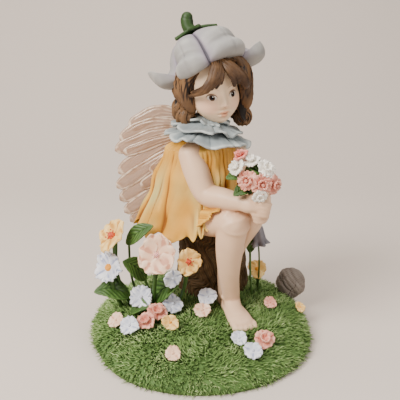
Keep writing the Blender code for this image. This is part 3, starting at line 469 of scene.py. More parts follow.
# Stone
# A small weathered field stone is cast apart and glued at the back of the ground.
# It is grey brown, with a few dark cracks.
CRACKS = (
    # the way that a crack's plane faces, and how far it lies from the middle
    ((0.5, -0.6, 0.62), 0.30),
    ((-0.75, -0.35, 0.35), 0.34),
)
CRACK_DEPTH = 0.04
CRACK_WIDTH = 0.03


def stone_body():
    low, high = (np.array(corner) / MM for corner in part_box("stone"))
    piece, way = round_body("field_stone", 6)
    x, y, z = way.T
    swell = 1 + 0.07 * np.sin(3.1 * x + 2.0) * np.cos(2.7 * y)
    swell += 0.03 * np.sin(5.3 * z + 4.9 * x) + 0.012 * np.sin(17 * x + 13 * z)
    swell += 0.010 * np.sin(29 * y + 23 * z) * np.sin(31 * x)
    for normal, offset in CRACKS:
        away = way @ (np.array(normal) / np.linalg.norm(normal)) - offset + 0.05 * np.sin(7 * x + 5 * z)
        broken = np.clip(0.5 + 1.5 * np.sin(4 * y + 3 * x), 0, 1)
        swell -= CRACK_DEPTH * np.exp(-((away / CRACK_WIDTH) ** 2)) * broken
    shaped = way * swell[:, None]
    shaped *= 0.5 * (high - low) / np.abs(shaped).max(axis=0)
    move_points(piece, shaped + 0.5 * (low + high))
    return piece


field_stone = stone_body()
mark_relief(field_stone, 10, 0.16)
stone_paint = painted("stone_paint", (0.155, 0.125, 0.105), (0.045, 0.034, 0.028), (0.26, 0.225, 0.195), 0.7,
                      mottle=260.0, grain=0.25)
settle(field_stone, stone_paint, "stone", "stone")

# Girl's skin
# Legs, arms, hands, feet and neck belong to the girl's own casting, painted in a pale satin flesh tone.
# The forms are swept limbs melted into one skin.
HIP = (-3.0, 21.0, 57.0)
KNEE = (15.0, -9.0, 61.5)
ANKLE = (15.5, 1.0, 19.5)
HEEL = (14.5, 3.5, 14.0)
BALL_OF_FOOT = (19.2, -10.5, 12.6)
OTHER_KNEE = (22.5, -2.5, 61.0)
OTHER_ANKLE = (13.0, 7.5, 19.0)
SHOULDER = (-4.2, 2.5, 90.5)
ELBOW = (3.0, -3.5, 73.5)
WRIST = (18.5, -14.0, 72.0)
OTHER_SHOULDER = (17.0, 19.5, 90.0)
OTHER_ELBOW = (24.5, 7.0, 75.0)
OTHER_WRIST = (29.0, -8.0, 72.5)
THIGH = ((*HIP, 9.5), (5.5, 6.5, 58.5, 9.0), (*KNEE, 7.8), (15.0, -8.5, 59.5, 7.6))
LIMBS = (
    # name, its middle line as x, y, z and radius, flatness, rows of faces
    ("thigh", THIGH, 1.0, 40),
    ("shin", ((15.0, -9.2, 60.5, 7.4), (14.0, -6.5, 47.5, 6.7), (14.0, -3.0, 33.0, 5.2), (*ANKLE, 4.2),
              (*HEEL, 4.1)), 1.0, 60),
    ("other_thigh", ((9.0, 26.0, 57.0, 9.5), (17.0, 11.0, 58.5, 8.6), (*OTHER_KNEE, 7.6)), 1.0, 40),
    ("other_shin", ((22.5, -2.5, 60.0, 7.2), (17.0, 2.5, 47.0, 6.0), (13.5, 6.0, 32.0, 4.8),
                    (*OTHER_ANKLE, 4.0), (12.5, 8.0, 14.5, 3.8)), 1.0, 60),
    ("foot", ((*HEEL, 4.2), (16.3, -3.0, 14.8, 5.0), (*BALL_OF_FOOT, 5.9), (20.6, -13.5, 11.6, 5.6)),
     0.55, 40),
    ("instep", ((*ANKLE, 4.0), (16.6, -4.5, 15.6, 4.2), (18.6, -9.5, 13.6, 4.4)), 0.7, 40),
    ("arm", ((*SHOULDER, 6.0), (-1.6, -0.5, 83.0, 6.1), (*ELBOW, 5.6), (11.0, -9.5, 72.5, 5.0),
             (*WRIST, 3.9)), 1.0, 60),
    ("other_arm", ((*OTHER_SHOULDER, 5.8), (20.0, 14.5, 83.0, 5.6), (*OTHER_ELBOW, 5.2),
                   (28.0, -2.0, 73.0, 4.6), (*OTHER_WRIST, 3.8)), 1.0, 60),
    ("palm", ((*WRIST, 3.8), (22.5, -16.0, 71.4, 4.0), (25.5, -17.0, 70.8, 3.2)), 1.0, 40),
    ("other_palm", ((*OTHER_WRIST, 3.6), (28.5, -13.0, 69.6, 3.7), (26.5, -16.0, 68.0, 3.0)), 1.0, 40),
    ("shoulders", ((*SHOULDER, 5.0), (5.5, 12.5, 93.5, 6.0), (*OTHER_SHOULDER, 5.0)), 1.0, 40),
    ("neck", ((3.5, 12.0, 92.0, 6.0), (4.6, 10.2, 100.0, 5.0), (4.6, 8.5, 108.0, 5.0)), 1.0, 40),
)
BUMPS = (
    # name, centre, half sizes
    ("kneecap", (15.6, -13.0, 61.5), (4.6, 4.4, 5.2)),
    ("calf", (13.4, -3.4, 46.0), (5.6, 5.6, 9.5)),
    ("ankle_bone", (11.9, -0.2, 20.0), (1.5, 1.7, 1.8)),
)
SKIN_GRAIN = 0.42  # size of the melted skin's faces


def along_knots(knots, share):
    """Rows along a smooth curve through the knots, at shares from 0 to 1."""
    rows = np.array(knots, float)
    padded = np.vstack([2 * rows[0] - rows[1], rows, 2 * rows[-1] - rows[-2]])
    at = np.clip(share, 0, 1) * (len(rows) - 1)
    start = np.minimum(at.astype(int), len(rows) - 2)
    t = (at - start)[:, None]
    a, b, c, d = (padded[start + step] for step in range(4))
    return 0.5 * (2 * b + (c - a) * t + (2 * a - 5 * b + 4 * c - d) * t**2 + (3 * b - a - 3 * c + d) * t**3)


def ahead_on_knots(knots, share):
    """The step from just before to just after each share of the curve."""
    step = 0.01
    return along_knots(knots, np.minimum(1, share + step)) - along_knots(knots, np.maximum(0, share - step))


def sweep(name, knots, flat=1.0, side_way=(1.0, 0.0, 0.0), columns=24, rows=40, section=None):
    """A round-ended limb through knots of x, y, z and radius."""

    def skin(u, v):
        cap = 0.5 - 0.5 * np.cos(np.clip(v, 0, 1) * math.pi)
        share = np.clip((cap - 0.06) / 0.88, 0, 1)
        rows_at = along_knots(knots, share)
        ahead = ahead_on_knots(knots, share)[:, :3]
        along = ahead / np.linalg.norm(ahead, axis=1)[:, None]
        across = np.array(side_way) - along * (along @ np.array(side_way))[:, None]
        across /= np.linalg.norm(across, axis=1)[:, None]
        over = np.cross(along, across)
        past = np.where(cap < 0.06, (cap - 0.06) / 0.06, np.where(cap > 0.94, (cap - 0.94) / 0.06, 0.0))
        round_off = np.sqrt(np.clip(1 - past**2, 0, 1))
        angle = u * math.tau
        radius = rows_at[:, 3] * round_off * (section(u, share) if section else 1.0)
        ring = across * np.cos(angle)[:, None] + flat * over * np.sin(angle)[:, None]
        points = rows_at[:, :3] + along * (past * rows_at[:, 3] * flat)[:, None] + ring * radius[:, None]
        return points.T

    return bend_grid(name, columns, rows, skin)


def egg(name, centre, half, turn=None):
    bpy.ops.object.select_all(action="DESELECT")
    bpy.ops.mesh.primitive_uv_sphere_add(segments=32, ring_count=20, radius=1.0)
    piece = bpy.context.object
    piece.name = name
    points = np.array([corner.co for corner in piece.data.vertices]) * half
    if turn is not None:
        points = points @ turn.T
    move_points(piece, points + np.array(centre))
    return piece


def toes():
    made = []
    for toe in range(5):
        out = toe - 2.0
        base = np.array((20.6 + 2.35 * out, -13.4 + 0.14 * out * out + 0.4 * out, 11.6))
        tip = base + np.array((1.0, -4.0 + 0.35 * toe, -0.7))
        middle = 0.5 * (base + tip) + (0, 0, 0.5)
        made.append(sweep("toe", [(*base, 1.75), (*middle, 1.45), (*tip, 1.85 - 0.17 * toe)], rows=20))
    return made


def fingers():
    """Her right hand lies over her left one, and both close round the stems."""
    made = []
    for finger in range(4):
        drop = 1.95 * finger
        knots = [
            (23.5 + 0.3 * finger, -17.6, 73.4 - drop, 1.35),
            (27.2, -19.6 + 0.25 * finger, 73.2 - drop, 1.3),
            (30.2 - 0.2 * finger, -19.2 + 0.25 * finger, 72.6 - drop, 1.15),
            (31.6 - 0.4 * finger, -16.6, 71.9 - drop, 0.95),
        ]
        made.append(sweep("finger", knots, columns=16, rows=44))
    for finger in range(3):
        drop = 1.7 * finger
        knots = [
            (30.5, -12.5, 68.2 - drop, 1.3),
            (28.6, -16.6, 67.2 - drop, 1.2),
            (26.0, -18.4 + 0.3 * finger, 67.2 - drop, 1.1),
            (23.6 + 0.5 * finger, -18.2 + 0.4 * finger, 67.6 - drop, 0.9),
        ]
        made.append(sweep("other_finger", knots, columns=16, rows=44))
    thumb = [(21.0, -15.5, 74.2, 1.6), (24.0, -18.0, 76.0, 1.4), (26.8, -18.6, 75.9, 1.1)]
    made.append(sweep("thumb", thumb, columns=16, rows=40))
    return made


def skin_forms():
    limbs = [sweep(name, knots, flat, rows=rows) for name, knots, flat, rows in LIMBS]
    return limbs + [egg(*bump) for bump in BUMPS] + toes() + fingers()


def melt(pieces, name, grain, passes):
    """Joins overlapping forms into one skin and smooths where they meet."""
    piece = join(pieces, name)
    remesh = piece.modifiers.new("one_skin", "REMESH")
    remesh.mode = "VOXEL"
    remesh.voxel_size = grain * MM
    soften = piece.modifiers.new("soften", "SMOOTH")
    soften.factor = 0.5
    soften.iterations = passes
    apply_modifiers(piece)
    return piece


body_skin = melt(skin_forms(), "body_skin", SKIN_GRAIN, 12)
mark_relief(body_skin, 24, 0.35)
skin_paint = painted("skin_paint", (0.71, 0.47, 0.31), (0.46, 0.24, 0.13), (0.80, 0.58, 0.41), 0.42,
                     wash_amount=0.6, brush_amount=0.4, mottle=60.0, grain=0.01)
settle(body_skin, skin_paint, "girl", "girl")

# Head
# A calm doll's face, of general proportions, sculpted in the girl's casting and painted by hand:
# small dark eyes, faint brows, soft lips and a little colour on the cheeks.
HEAD = (4.8, 8.0, 123.2)
HEAD_TURN = math.radians(26.0)
HEAD_TILT = math.radians(8.0)
HEAD_NOD = math.radians(17.0)
EYE_OUT = 5.3
EYE_UP = -1.5
MOUTH_UP = -9.2
SKULL = ((0.0, 1.5, 2.0), (13.4, 13.8, 13.6))  # centre, half sizes
JAW = ((0.2, -5.0, -6.0), (11.8, 9.4, 10.2))
BLEND_SHARPNESS = 10.0
HEAD_SIZE = 0.965
BELOW_JAW = -7.0
CHIN_NARROWING = 0.028  # a millimetre below the jaw
CHIN_FORWARD = 0.34
FACE_FORMS = (
    # how far out, across, up, spread across and up, on both sides
    (-0.9, EYE_OUT, EYE_UP + 0.4, 3.0, 1.9, True),  # eye socket
    (0.62, EYE_OUT, EYE_UP - 0.05, 1.7, 1.05, True),  # eyeball
    (-0.30, EYE_OUT, EYE_UP + 1.6, 2.0, 0.3, True),  # crease over the lid
    (0.75, 7.4, -7.0, 3.6, 3.2, True),  # cheek
    (0.35, 4.6, 2.7, 3.2, 1.2, True),  # brow
    (0.75, 0.0, -1.2, 1.15, 2.6, False),  # bridge of the nose
    (1.1, 0.0, -3.6, 1.2, 1.5, False),  # ridge of the nose
    (1.15, 0.0, -4.9, 1.35, 0.95, False),  # tip of the nose
    (0.45, 1.45, -5.3, 0.7, 0.6, True),  # nostril
    (-0.3, 0.0, -6.6, 0.5, 0.8, False),  # groove over the lips
    (0.62, 0.0, MOUTH_UP + 0.75, 2.3, 0.6, False),  # upper lip
    (0.72, 0.0, MOUTH_UP - 0.85, 1.7, 0.65, False),  # lower lip
    (-0.5, 0.0, MOUTH_UP, 2.4, 0.26, False),  # line between the lips
    (-0.28, 2.75, MOUTH_UP + 0.1, 0.6, 0.6, True),  # corner of the mouth
    (-0.35, 0.0, MOUTH_UP - 2.2, 2.0, 0.7, False),  # hollow below the lips
    (0.9, 0.0, -14.0, 2.8, 1.9, False),  # chin
)
TURNED = Matrix.Rotation(HEAD_TURN, 3, "Z") @ Matrix.Rotation(-HEAD_TILT, 3, "Y")
HEAD_AXES = np.array(TURNED @ Matrix.Rotation(HEAD_NOD, 3, "X"))


def in_head(points):
    """Points given from the head's centre: x to her left, -y out of the face, z up."""
    return np.asarray(points, float) @ HEAD_AXES.T + np.array(HEAD)


def head_body():
    piece, way = round_body("head", 7)

    def reach_to(centre, half):
        """Distance along each way from the head's centre to an egg's far side."""
        scaled = way / half
        offset = np.array(centre) / half
        a = (scaled**2).sum(axis=1)
        b = scaled @ offset
        root = b * b - a * (offset @ offset - 1)
        return np.where(root > 0, (b + np.sqrt(np.clip(root, 0, None))) / a, 0.0)

    skull = np.exp(np.log(reach_to(*SKULL)) * BLEND_SHARPNESS)
    jaw = np.exp(np.log(np.maximum(reach_to(*JAW), 0.1)) * BLEND_SHARPNESS)
    local = way * (HEAD_SIZE * (skull + jaw) ** (1 / BLEND_SHARPNESS))[:, None]
    below = np.clip(BELOW_JAW - local[:, 2], 0, None)
    local[:, 0] *= 1 - CHIN_NARROWING * below
    local[:, 1] -= CHIN_FORWARD * below
    x, y, z = local.T
    front = np.clip(-way[:, 1] * 2.2, 0, 1)

    out = np.zeros_like(x)
    for amount, across, up, spread_x, spread_z, both_sides in FACE_FORMS:
        bump = np.exp(-(((x - across) / spread_x) ** 2) - ((z - up) / spread_z) ** 2)
        if both_sides:
            bump += np.exp(-(((x + across) / spread_x) ** 2) - ((z - up) / spread_z) ** 2)
        out += amount * bump * front
    local[:, 1] -= out
    move_points(piece, in_head(local))
    face_place = piece.data.attributes.new("face_place", "FLOAT_VECTOR", "POINT")
    face_place.data.foreach_set("vector", local.astype(np.float32).ravel())
    return piece


def face_paint():
    """Skin with painted features; each is an ellipse on the face, in the head's own millimetres."""
    material = painted("face_paint", (0.81, 0.61, 0.42), (0.52, 0.30, 0.17), (0.88, 0.70, 0.51), 0.36,
                       wash_amount=0.5, brush_amount=0.3, mottle=60.0, grain=0.01)
    nodes = material.node_tree.nodes
    links = material.node_tree.links
    shader = nodes["Principled BSDF"]
    place = nodes.new("ShaderNodeAttribute")
    place.attribute_name = "face_place"
    split = nodes.new("ShaderNodeSeparateXYZ")
    links.new(place.outputs["Vector"], split.inputs["Vector"])

    def number(operation, first, second=0.0):
        made = nodes.new("ShaderNodeMath")
        made.operation = operation
        for slot_index, value in enumerate((first, second)):
            if isinstance(value, (int, float)):
                made.inputs[slot_index].default_value = value
            else:
                links.new(value, made.inputs[slot_index])
        return made.outputs["Value"]

    mirrored = number("ABSOLUTE", split.outputs["X"])
    at_front = number("LESS_THAN", split.outputs["Y"], -4.0)

    def squared(value, centre, half):
        share = number("DIVIDE", number("SUBTRACT", value, centre), half)
        return number("MULTIPLY", share, share)

    def ellipse(centre_x, centre_z, half_x, half_z, soft=0.15):
        """A mask that is 1 inside the ellipse, on both sides of the face, with a soft edge."""
        across = squared(mirrored, centre_x, half_x)
        far = number("ADD", across, squared(split.outputs["Z"], centre_z, half_z))
        fit = nodes.new("ShaderNodeMapRange")
        fit.interpolation_type = "SMOOTHSTEP"
        fit.inputs["From Min"].default_value = 1.0 + soft
        fit.inputs["From Max"].default_value = 1.0 - soft
        links.new(far, fit.inputs["Value"])
        return number("MULTIPLY", fit.outputs["Result"], at_front)

    def over(mask, colour, below, strength=1.0):
        mix = nodes.new("ShaderNodeMix")
        mix.data_type = "RGBA"
        links.new(number("MULTIPLY", mask, strength), mix.inputs["Factor"])
        links.new(below, mix.inputs["A"])
        mix.inputs["B"].default_value = (*colour, 1.0)
        return mix.outputs["Result"]

    def without(mask, other):
        return number("MULTIPLY", mask, number("SUBTRACT", 1.0, other))

    colour = nodes["Hand painting"].outputs["Colour"]
    colour = over(ellipse(7.0, -5.6, 4.2, 3.4, 0.9), (0.80, 0.36, 0.25), colour, 0.36)
    colour = over(ellipse(0.0, -5.0, 1.8, 1.3, 0.9), (0.80, 0.40, 0.29), colour, 0.22)
    upper_lip = ellipse(0.0, MOUTH_UP + 0.6, 2.35, 0.72, 0.35)
    lower_lip = ellipse(0.0, MOUTH_UP - 0.7, 1.75, 0.85, 0.35)
    lips = number("MAXIMUM", upper_lip, lower_lip)
    colour = over(lips, (0.66, 0.25, 0.12), colour, 0.72)
    colour = over(ellipse(0.0, MOUTH_UP + 0.02, 2.3, 0.17, 0.4), (0.28, 0.07, 0.05), colour, 0.75)
    brow = without(ellipse(5.2, 1.5, 3.0, 1.35, 0.25), ellipse(5.2, 1.05, 3.3, 1.35, 0.25))
    colour = over(brow, (0.22, 0.12, 0.06), colour, 0.55)
    eye = ellipse(EYE_OUT, EYE_UP, 2.0, 1.1, 0.12)
    colour = over(ellipse(EYE_OUT, EYE_UP + 0.35, 2.6, 1.6, 0.6), (0.40, 0.22, 0.14), colour, 0.35)
    colour = over(eye, (0.66, 0.60, 0.55), colour)
    iris = ellipse(EYE_OUT, EYE_UP + 0.05, 1.2, 1.25, 0.15)
    colour = over(number("MULTIPLY", iris, eye), (0.045, 0.02, 0.01), colour)
    pupil = ellipse(EYE_OUT, EYE_UP + 0.05, 0.65, 0.7, 0.2)
    colour = over(number("MULTIPLY", pupil, eye), (0.004, 0.003, 0.003), colour)
    lid = ellipse(EYE_OUT, EYE_UP + 0.18, 2.3, 1.45, 0.2)
    lid = without(lid, ellipse(EYE_OUT, EYE_UP - 0.14, 2.25, 1.24, 0.15))
    above = number("GREATER_THAN", split.outputs["Z"], EYE_UP - 0.2)
    colour = over(number("MULTIPLY", lid, above), (0.035, 0.015, 0.008), colour, 0.9)
    glint = ellipse(EYE_OUT - 0.4, EYE_UP + 0.45, 0.2, 0.2, 0.4)
    colour = over(number("MULTIPLY", glint, eye), (0.85, 0.85, 0.85), colour)
    links.new(colour, shader.inputs["Base Color"])
    shine = nodes.new("ShaderNodeMapRange")
    shine.inputs["To Min"].default_value = 0.4
    shine.inputs["To Max"].default_value = 0.12
    links.new(eye, shine.inputs["Value"])
    links.new(shine.outputs["Result"], shader.inputs["Roughness"])
    return material


head = head_body()
mark_relief(head, 16, 0.3)
settle(head, face_paint(), "girl", "girl")

# Dress
# A sleeveless dress of long petals, gathered at the neck, is part of the girl's casting.
# It is ochre in the folds and along the edges, and pale yellow down the middle of each petal.
NECK_PLACE = (0.0, 14.0)
NECK_TOP = 98.0
NECK_RADIUS = 9.0
CHEST_RADIUS = 15.4
HEM_PLACE = (0.0, 20.0)
HEM = (
    # azimuth in degrees, reach, height
    (0, 19.0, 51.0),
    (60, 19.0, 50.0),
    (120, 21.0, 50.0),
    (160, 28.0, 52.0),
    (182, 32.0, 53.0),
    (205, 27.0, 50.0),
    (240, 23.5, 47.0),
    (262, 21.5, 50.5),
    (280, 21.5, 58.0),
    (298, 23.5, 66.0),
    (330, 21.5, 62.0),
)
FOLDS_IN_DRESS = 10
FOLD_DEPTH = 3.3
DRAPE_WALL = 0.8
DRAPE_START = 0.12  # as a share of the thigh
DRAPE_ANGLES = (-60, 0, 20, 50, 80, 110, 135)  # degrees round the thigh, from its top
DRAPE_ENDS = (0.62, 0.90, 1.0, 1.0, 0.80, 0.54, 0.36)  # how far along the thigh, at each angle


def dress_waves(way, down):
    """The uneven place along the row of folds, and how near each spot is to a fold's middle."""
    swung = way + 0.24 * np.sin(2 * way + 1.1) + 0.10 * np.sin(5 * way + 0.6)
    swung += 0.10 * np.sin(3 * way + 4.0) * down
    return swung, np.abs(np.cos(0.5 * FOLDS_IN_DRESS * swung))


def dress_shape(u, v):
    azimuth = u * 360
    way = u * math.tau
    table = np.array(HEM, float)
    table = np.vstack([table[-2:] - (360, 0, 0), table, table[:2] + (360, 0, 0)])
    reach = np.interp(azimuth, table[:, 0], table[:, 1])
    hem = np.interp(azimuth, table[:, 0], table[:, 2])
    down = np.clip(v / 0.9, 0, 1)
    tuck = np.clip((v - 0.9) / 0.1, 0, 1)
    swung, middle = dress_waves(way, down)
    points_of_hem = np.abs(np.cos(1.5 * FOLDS_IN_DRESS * swung + 0.9 * np.sin(4 * way)))
    hem = hem + 2.6 - 3.2 * points_of_hem**1.3 - 2.6 * middle**2 + 0.8 * np.sin(7 * way + 1.0)
    chest = NECK_RADIUS + (CHEST_RADIUS - NECK_RADIUS) * np.minimum(1.0, down / 0.12)
    radius = chest + (reach - CHEST_RADIUS) * np.maximum(0.0, down - 0.06) / 0.94
    fold = middle**0.55 - 0.62
    side_fold = 0.35 * np.abs(np.sin(FOLDS_IN_DRESS * swung + 1.2 + 2.0 * down)) ** 0.7
    gather = 0.45 * np.abs(np.sin(24 * swung + 2.5 * np.sin(4 * down + 3 * way))) ** 0.7
    gather *= np.exp(-(((down - 0.12) / 0.2) ** 2)) + 0.22 * np.exp(-(((down - 0.75) / 0.25) ** 2))
    dent = 0.7 * waves(way * 15.0, down * 42.0, 15.0, 9) * np.minimum(1.0, down / 0.3)
    soft = FOLD_DEPTH * (0.16 + 0.84 * np.sin(0.5 * math.pi * down) ** 1.3)
    radius += (soft * (fold + side_fold) + gather + dent) * np.minimum(1.0, down / 0.1)
    radius += 1.5 * np.clip((down - 0.84) / 0.16, 0, 1) ** 2 * points_of_hem
    radius *= 1 - 0.16 * tuck
    height = NECK_TOP + (hem - NECK_TOP) * down + 1.6 * tuck
    x = NECK_PLACE[0] + (HEM_PLACE[0] - NECK_PLACE[0]) * down + radius * np.cos(way)
    y = NECK_PLACE[1] + (HEM_PLACE[1] - NECK_PLACE[1]) * down + radius * np.sin(way)
    return x, y, height


def dress():
    made = bend_grid("dress", 560, 150, dress_shape)
    mark_relief(made, 60, 0.6)
    points = shape_points(made)
    down = np.clip((NECK_TOP - points[:, 2]) / 45.0, 0, 1)
    centre_y = NECK_PLACE[1] + (HEM_PLACE[1] - NECK_PLACE[1]) * down
    way = np.arctan2(points[:, 1] - centre_y, points[:, 0]) % math.tau
    middle = dress_waves(way, down)[1]
    pale = np.clip(2.4 * middle - 0.65, 0, 1) * np.exp(-(((down - 0.68) / 0.36) ** 2))
    patchy = np.clip(0.75 + 0.6 * waves(way * 17.0, down * 30.0, 14.0, 21), 0, 1)
    mark(made, "tint", pale * patchy)
    return made


def drape_end(around):
    """How far along the thigh the drape reaches, at each angle round it from the top."""
    turned = np.degrees(around)
    petals = np.abs(np.cos(np.radians(4.1 * turned + 20)))
    return np.interp(turned, DRAPE_ANGLES, DRAPE_ENDS) + 0.07 * petals**1.2 + 0.012 * np.sin(0.9 * turned)


def lap_drape(u, v):
    """The front petals of the dress, which lie over her right thigh."""
    around = np.radians(DRAPE_ANGLES[0] + (DRAPE_ANGLES[-1] - DRAPE_ANGLES[0]) * u)
    share = DRAPE_START + (drape_end(around) - DRAPE_START) * v
    row = along_knots(THIGH[:3], share)
    ahead = np.array(KNEE) - np.array(HIP)
    ahead /= np.linalg.norm(ahead)
    side = np.cross(ahead, (0.0, 0.0, 1.0))
    side /= np.linalg.norm(side)
    up = np.cross(side, ahead)
    folds = 0.55 * np.abs(np.cos(6.5 * around + 1.8 * v + 0.6)) ** 0.6 + 0.2 * np.sin(17 * around + 3 * v)
    loose = 1.0 + folds * (0.4 + 0.8 * v) + 0.8 * v**8 + 2.2 * np.clip(np.degrees(around) - 80, 0, None) / 50
    reach = (row[:, 3] + loose)[:, None]
    points = row[:, :3] + reach * (up * np.cos(around)[:, None] + side * np.sin(around)[:, None])
    return points.T


dress_paint = painted("dress_paint", (0.64, 0.31, 0.035), (0.27, 0.085, 0.008), (0.84, 0.52, 0.12), 0.5,
                      second=(0.52, 0.44, 0.16), wash_amount=0.95, brush_amount=0.55, mottle=90.0,
                      grain=0.03)
settle(dress(), dress_paint, "girl", "girl")
drape = bend_grid("lap_drape", 150, 60, lap_drape)
thicken(drape, DRAPE_WALL)
mark_relief(drape, 24, 0.35)
settle(drape, dress_paint, "girl", "girl")

# Collar
# Three layers of broad wavy petals lie round the neck, in one with the casting.
# They are grey blue, darker in the hollows and pale along the edges.
COLLAR_PLACE = (3.4, 9.5, 103.6)
COLLAR_SLOPE = -0.13
COLLAR_INNER = 5.5
COLLAR_WALL = 1.1
COLLAR_LAYERS = (
    # outer reach, drop, lift, petals, phase
    (20.4, 4.9, -1.4, 7, 0.4),
    (16.8, 2.6, 1.2, 6, 2.4),
    (10.8, 0.4, 2.6, 5, 4.1),
)


def collar_layer(outer, drop, lift, petals, phase):
    def petal_ring(u, v):
        way = u * math.tau
        at = petals * (way + 0.12 * np.sin(3 * way + phase)) + phase
        wave = np.cos(at + 0.8 * np.sin(2 * way))
        notch = np.exp(-((np.sin(at / 2) / 0.2) ** 2))
        reach = outer + 1.5 * np.abs(np.cos(at / 2)) ** 0.5 - 0.8 - 2.6 * notch
        reach += 0.35 * np.sin(2.7 * at) + 0.15 * np.sin(31 * way + phase)
        radius = COLLAR_INNER + (reach - COLLAR_INNER) * v
        dx = radius * np.cos(way)
        dy = radius * np.sin(way)
        curl = 1.0 * wave * v**1.6 + 0.6 * np.cos(1.7 * at + 1.0) * v**2
        curl += 1.6 * np.clip(v - 0.7, 0, 1) ** 1.4
        groove = 0.6 * np.exp(-((np.sin(at / 2) / 0.14) ** 2)) + 0.22 * np.abs(np.sin(1.5 * at + 3 * v))
        z = COLLAR_PLACE[2] + lift + COLLAR_SLOPE * dx - drop * v + curl - groove * v + 1.8 * (1 - v) ** 2
        return COLLAR_PLACE[0] + dx, COLLAR_PLACE[1] + dy, z

    layer = bend_grid("collar_layer", 360, 26, petal_ring)
    thicken(layer, COLLAR_WALL)
    rim = layer.modifiers.new("soft_rim", "SMOOTH")
    rim.iterations = 3
    apply_modifiers(layer)
    return layer


collar = join([collar_layer(*layer) for layer in COLLAR_LAYERS], "collar")
mark_relief(collar, 14, 0.4)
collar_paint = painted("collar_paint", (0.27, 0.31, 0.325), (0.07, 0.095, 0.11), (0.50, 0.54, 0.53), 0.5,
                       wash_amount=0.95, brush_amount=0.75, mottle=120.0, grain=0.03)
settle(collar, collar_paint, "girl", "girl")

# Hair
# A wavy bob is sculpted in the casting as swept locks, each with fine strands, and curls in at its ends.
# It is dark brown, and the strands are brushed with golden brown.
HAIR_HALF = (14.8, 15.6, 15.8)
HAIR_SHIFT = 1.2  # the hair is fuller on her left
HAIR_FALL = 16.5  # how far the locks hang below the widest part of the head
STRANDS = 10  # round each lock
STRAND_DEPTH = 0.08
LOCK_KNOTS = 12
LOCK_COLUMNS = 48
LOCK_LAYERS = ((19, 0.96, 0.0), (22, 1.04, -2.5))  # locks, how far out, how much further down
LOCKS_FROM = math.radians(60.0)
LOCKS_ROUND = math.radians(224.0)
CURLS = 14
CURLS_FROM = math.radians(64.0)
CURLS_ROUND = math.radians(222.0)
CURL_OUT = 14.6
CURL_DOWN = 13.8
HER_LEFT = math.radians(80.0)
HER_RIGHT = math.radians(285.0)
SIDE_SPREAD = 0.6


def beside(turn, side):
    """How near an azimuth is to one side of her head, 0 to 1."""
    return math.exp(-(((turn - side) / SIDE_SPREAD) ** 2))


def strand_section(phase, twist):
    """The ridged section of a lock whose strands wind slowly round it."""

    def section(u, share):
        wound = STRANDS * math.tau * (u + twist * share) + phase
        return 1 + STRAND_DEPTH * (np.cos(wound) + 0.8 * np.cos(0.5 * wound + 1.3))

    return section


def side_lock(turn, drop, curl, radius, out, seed):
    """One lock from under the hat over the side of the head; turn is measured from the face."""
    half_x, half_y, half_z = HAIR_HALF
    knots = []
    for step in range(LOCK_KNOTS):
        share = step / (LOCK_KNOTS - 1)
        fall = math.radians(28 + 64 * min(1.0, share * 1.7))
        below = max(0.0, share - 0.5) / 0.5
        wave = 0.10 * math.sin(13.0 * share + seed) * min(1.0, 2 * share)
        spread = 0.96 + 0.06 * math.sin(math.pi * min(1.0, 1.15 * share)) + 0.11 * below**1.2 + wave * below
        spread *= out * (1 - curl * below**2.2)
        ringlet = 1.1 * below * (1 - 0.5 * below)
        swing = turn + (0.05 + 0.09 * below) * math.sin(12.0 * share + 1.7 * seed)
        x = half_x * math.sin(fall) * math.sin(swing) * spread + ringlet * math.cos(9 * below + seed)
        y = -half_y * math.sin(fall) * math.cos(swing) * spread + ringlet * math.sin(9 * below + seed)
        z = half_z * math.cos(fall) - drop * below + 1.2 * max(0.0, below - 0.85) / 0.15
        swell = 0.8 + 0.5 * math.sin(math.pi * min(1.0, 0.1 + share))
        thick = radius * swell * (1 - 0.45 * max(0.0, share - 0.85) / 0.15)
        knots.append((*in_head((x + HAIR_SHIFT, y, z)), thick))
    strands = strand_section(seed, 0.9 * math.sin(seed))
    return sweep("lock", knots, 0.75, columns=LOCK_COLUMNS, rows=26, section=strands)


def curl_under(turn, height, size, seed):
    """The rolled end of a lock, which turns under towards the neck."""
    knots = []
    for step in range(LOCK_KNOTS):
        share = step / (LOCK_KNOTS - 1)
        angle = math.radians(60 - 400 * share)
        reach = size * (1 - 0.55 * share)
        out = CURL_OUT + reach * math.cos(angle)
        along = turn + (0.14 * share - 0.07) * math.cos(seed)
        x = HAIR_SHIFT + out * math.sin(along)
        z = height + 1.15 * reach * math.sin(angle)
        knots.append((*in_head((x, -out * math.cos(along), z)), 1.9 - 0.5 * share))
    return sweep("curl", knots, 0.85, columns=LOCK_COLUMNS, rows=26, section=strand_section(seed, 0.3))


def fringe_lock(start, end_x, end_z, radius, seed):
    """One lock of the fringe, swept from the parting over the forehead."""
    bow = 1.0 + 0.5 * math.sin(seed)
    side = 1 if end_x > start else -1
    knots = [
        (*in_head((start, -7.5, 14.0)), radius),
        (*in_head((start + 0.25 * (end_x - start) + 0.5 * side, -12.6, 11.0)), radius * 1.1),
        (*in_head((start + 0.62 * (end_x - start) + bow * side, -14.6, 0.5 * (end_z + 11.0))), radius),
        (*in_head((end_x, -math.sqrt(max(16.0, 15.2**2 - end_x**2)), end_z)), 0.45 * radius),
    ]
    strands = strand_section(seed, 0.5 * math.cos(seed))
    return sweep("fringe_lock", knots, 0.7, columns=LOCK_COLUMNS, rows=20, section=strands)


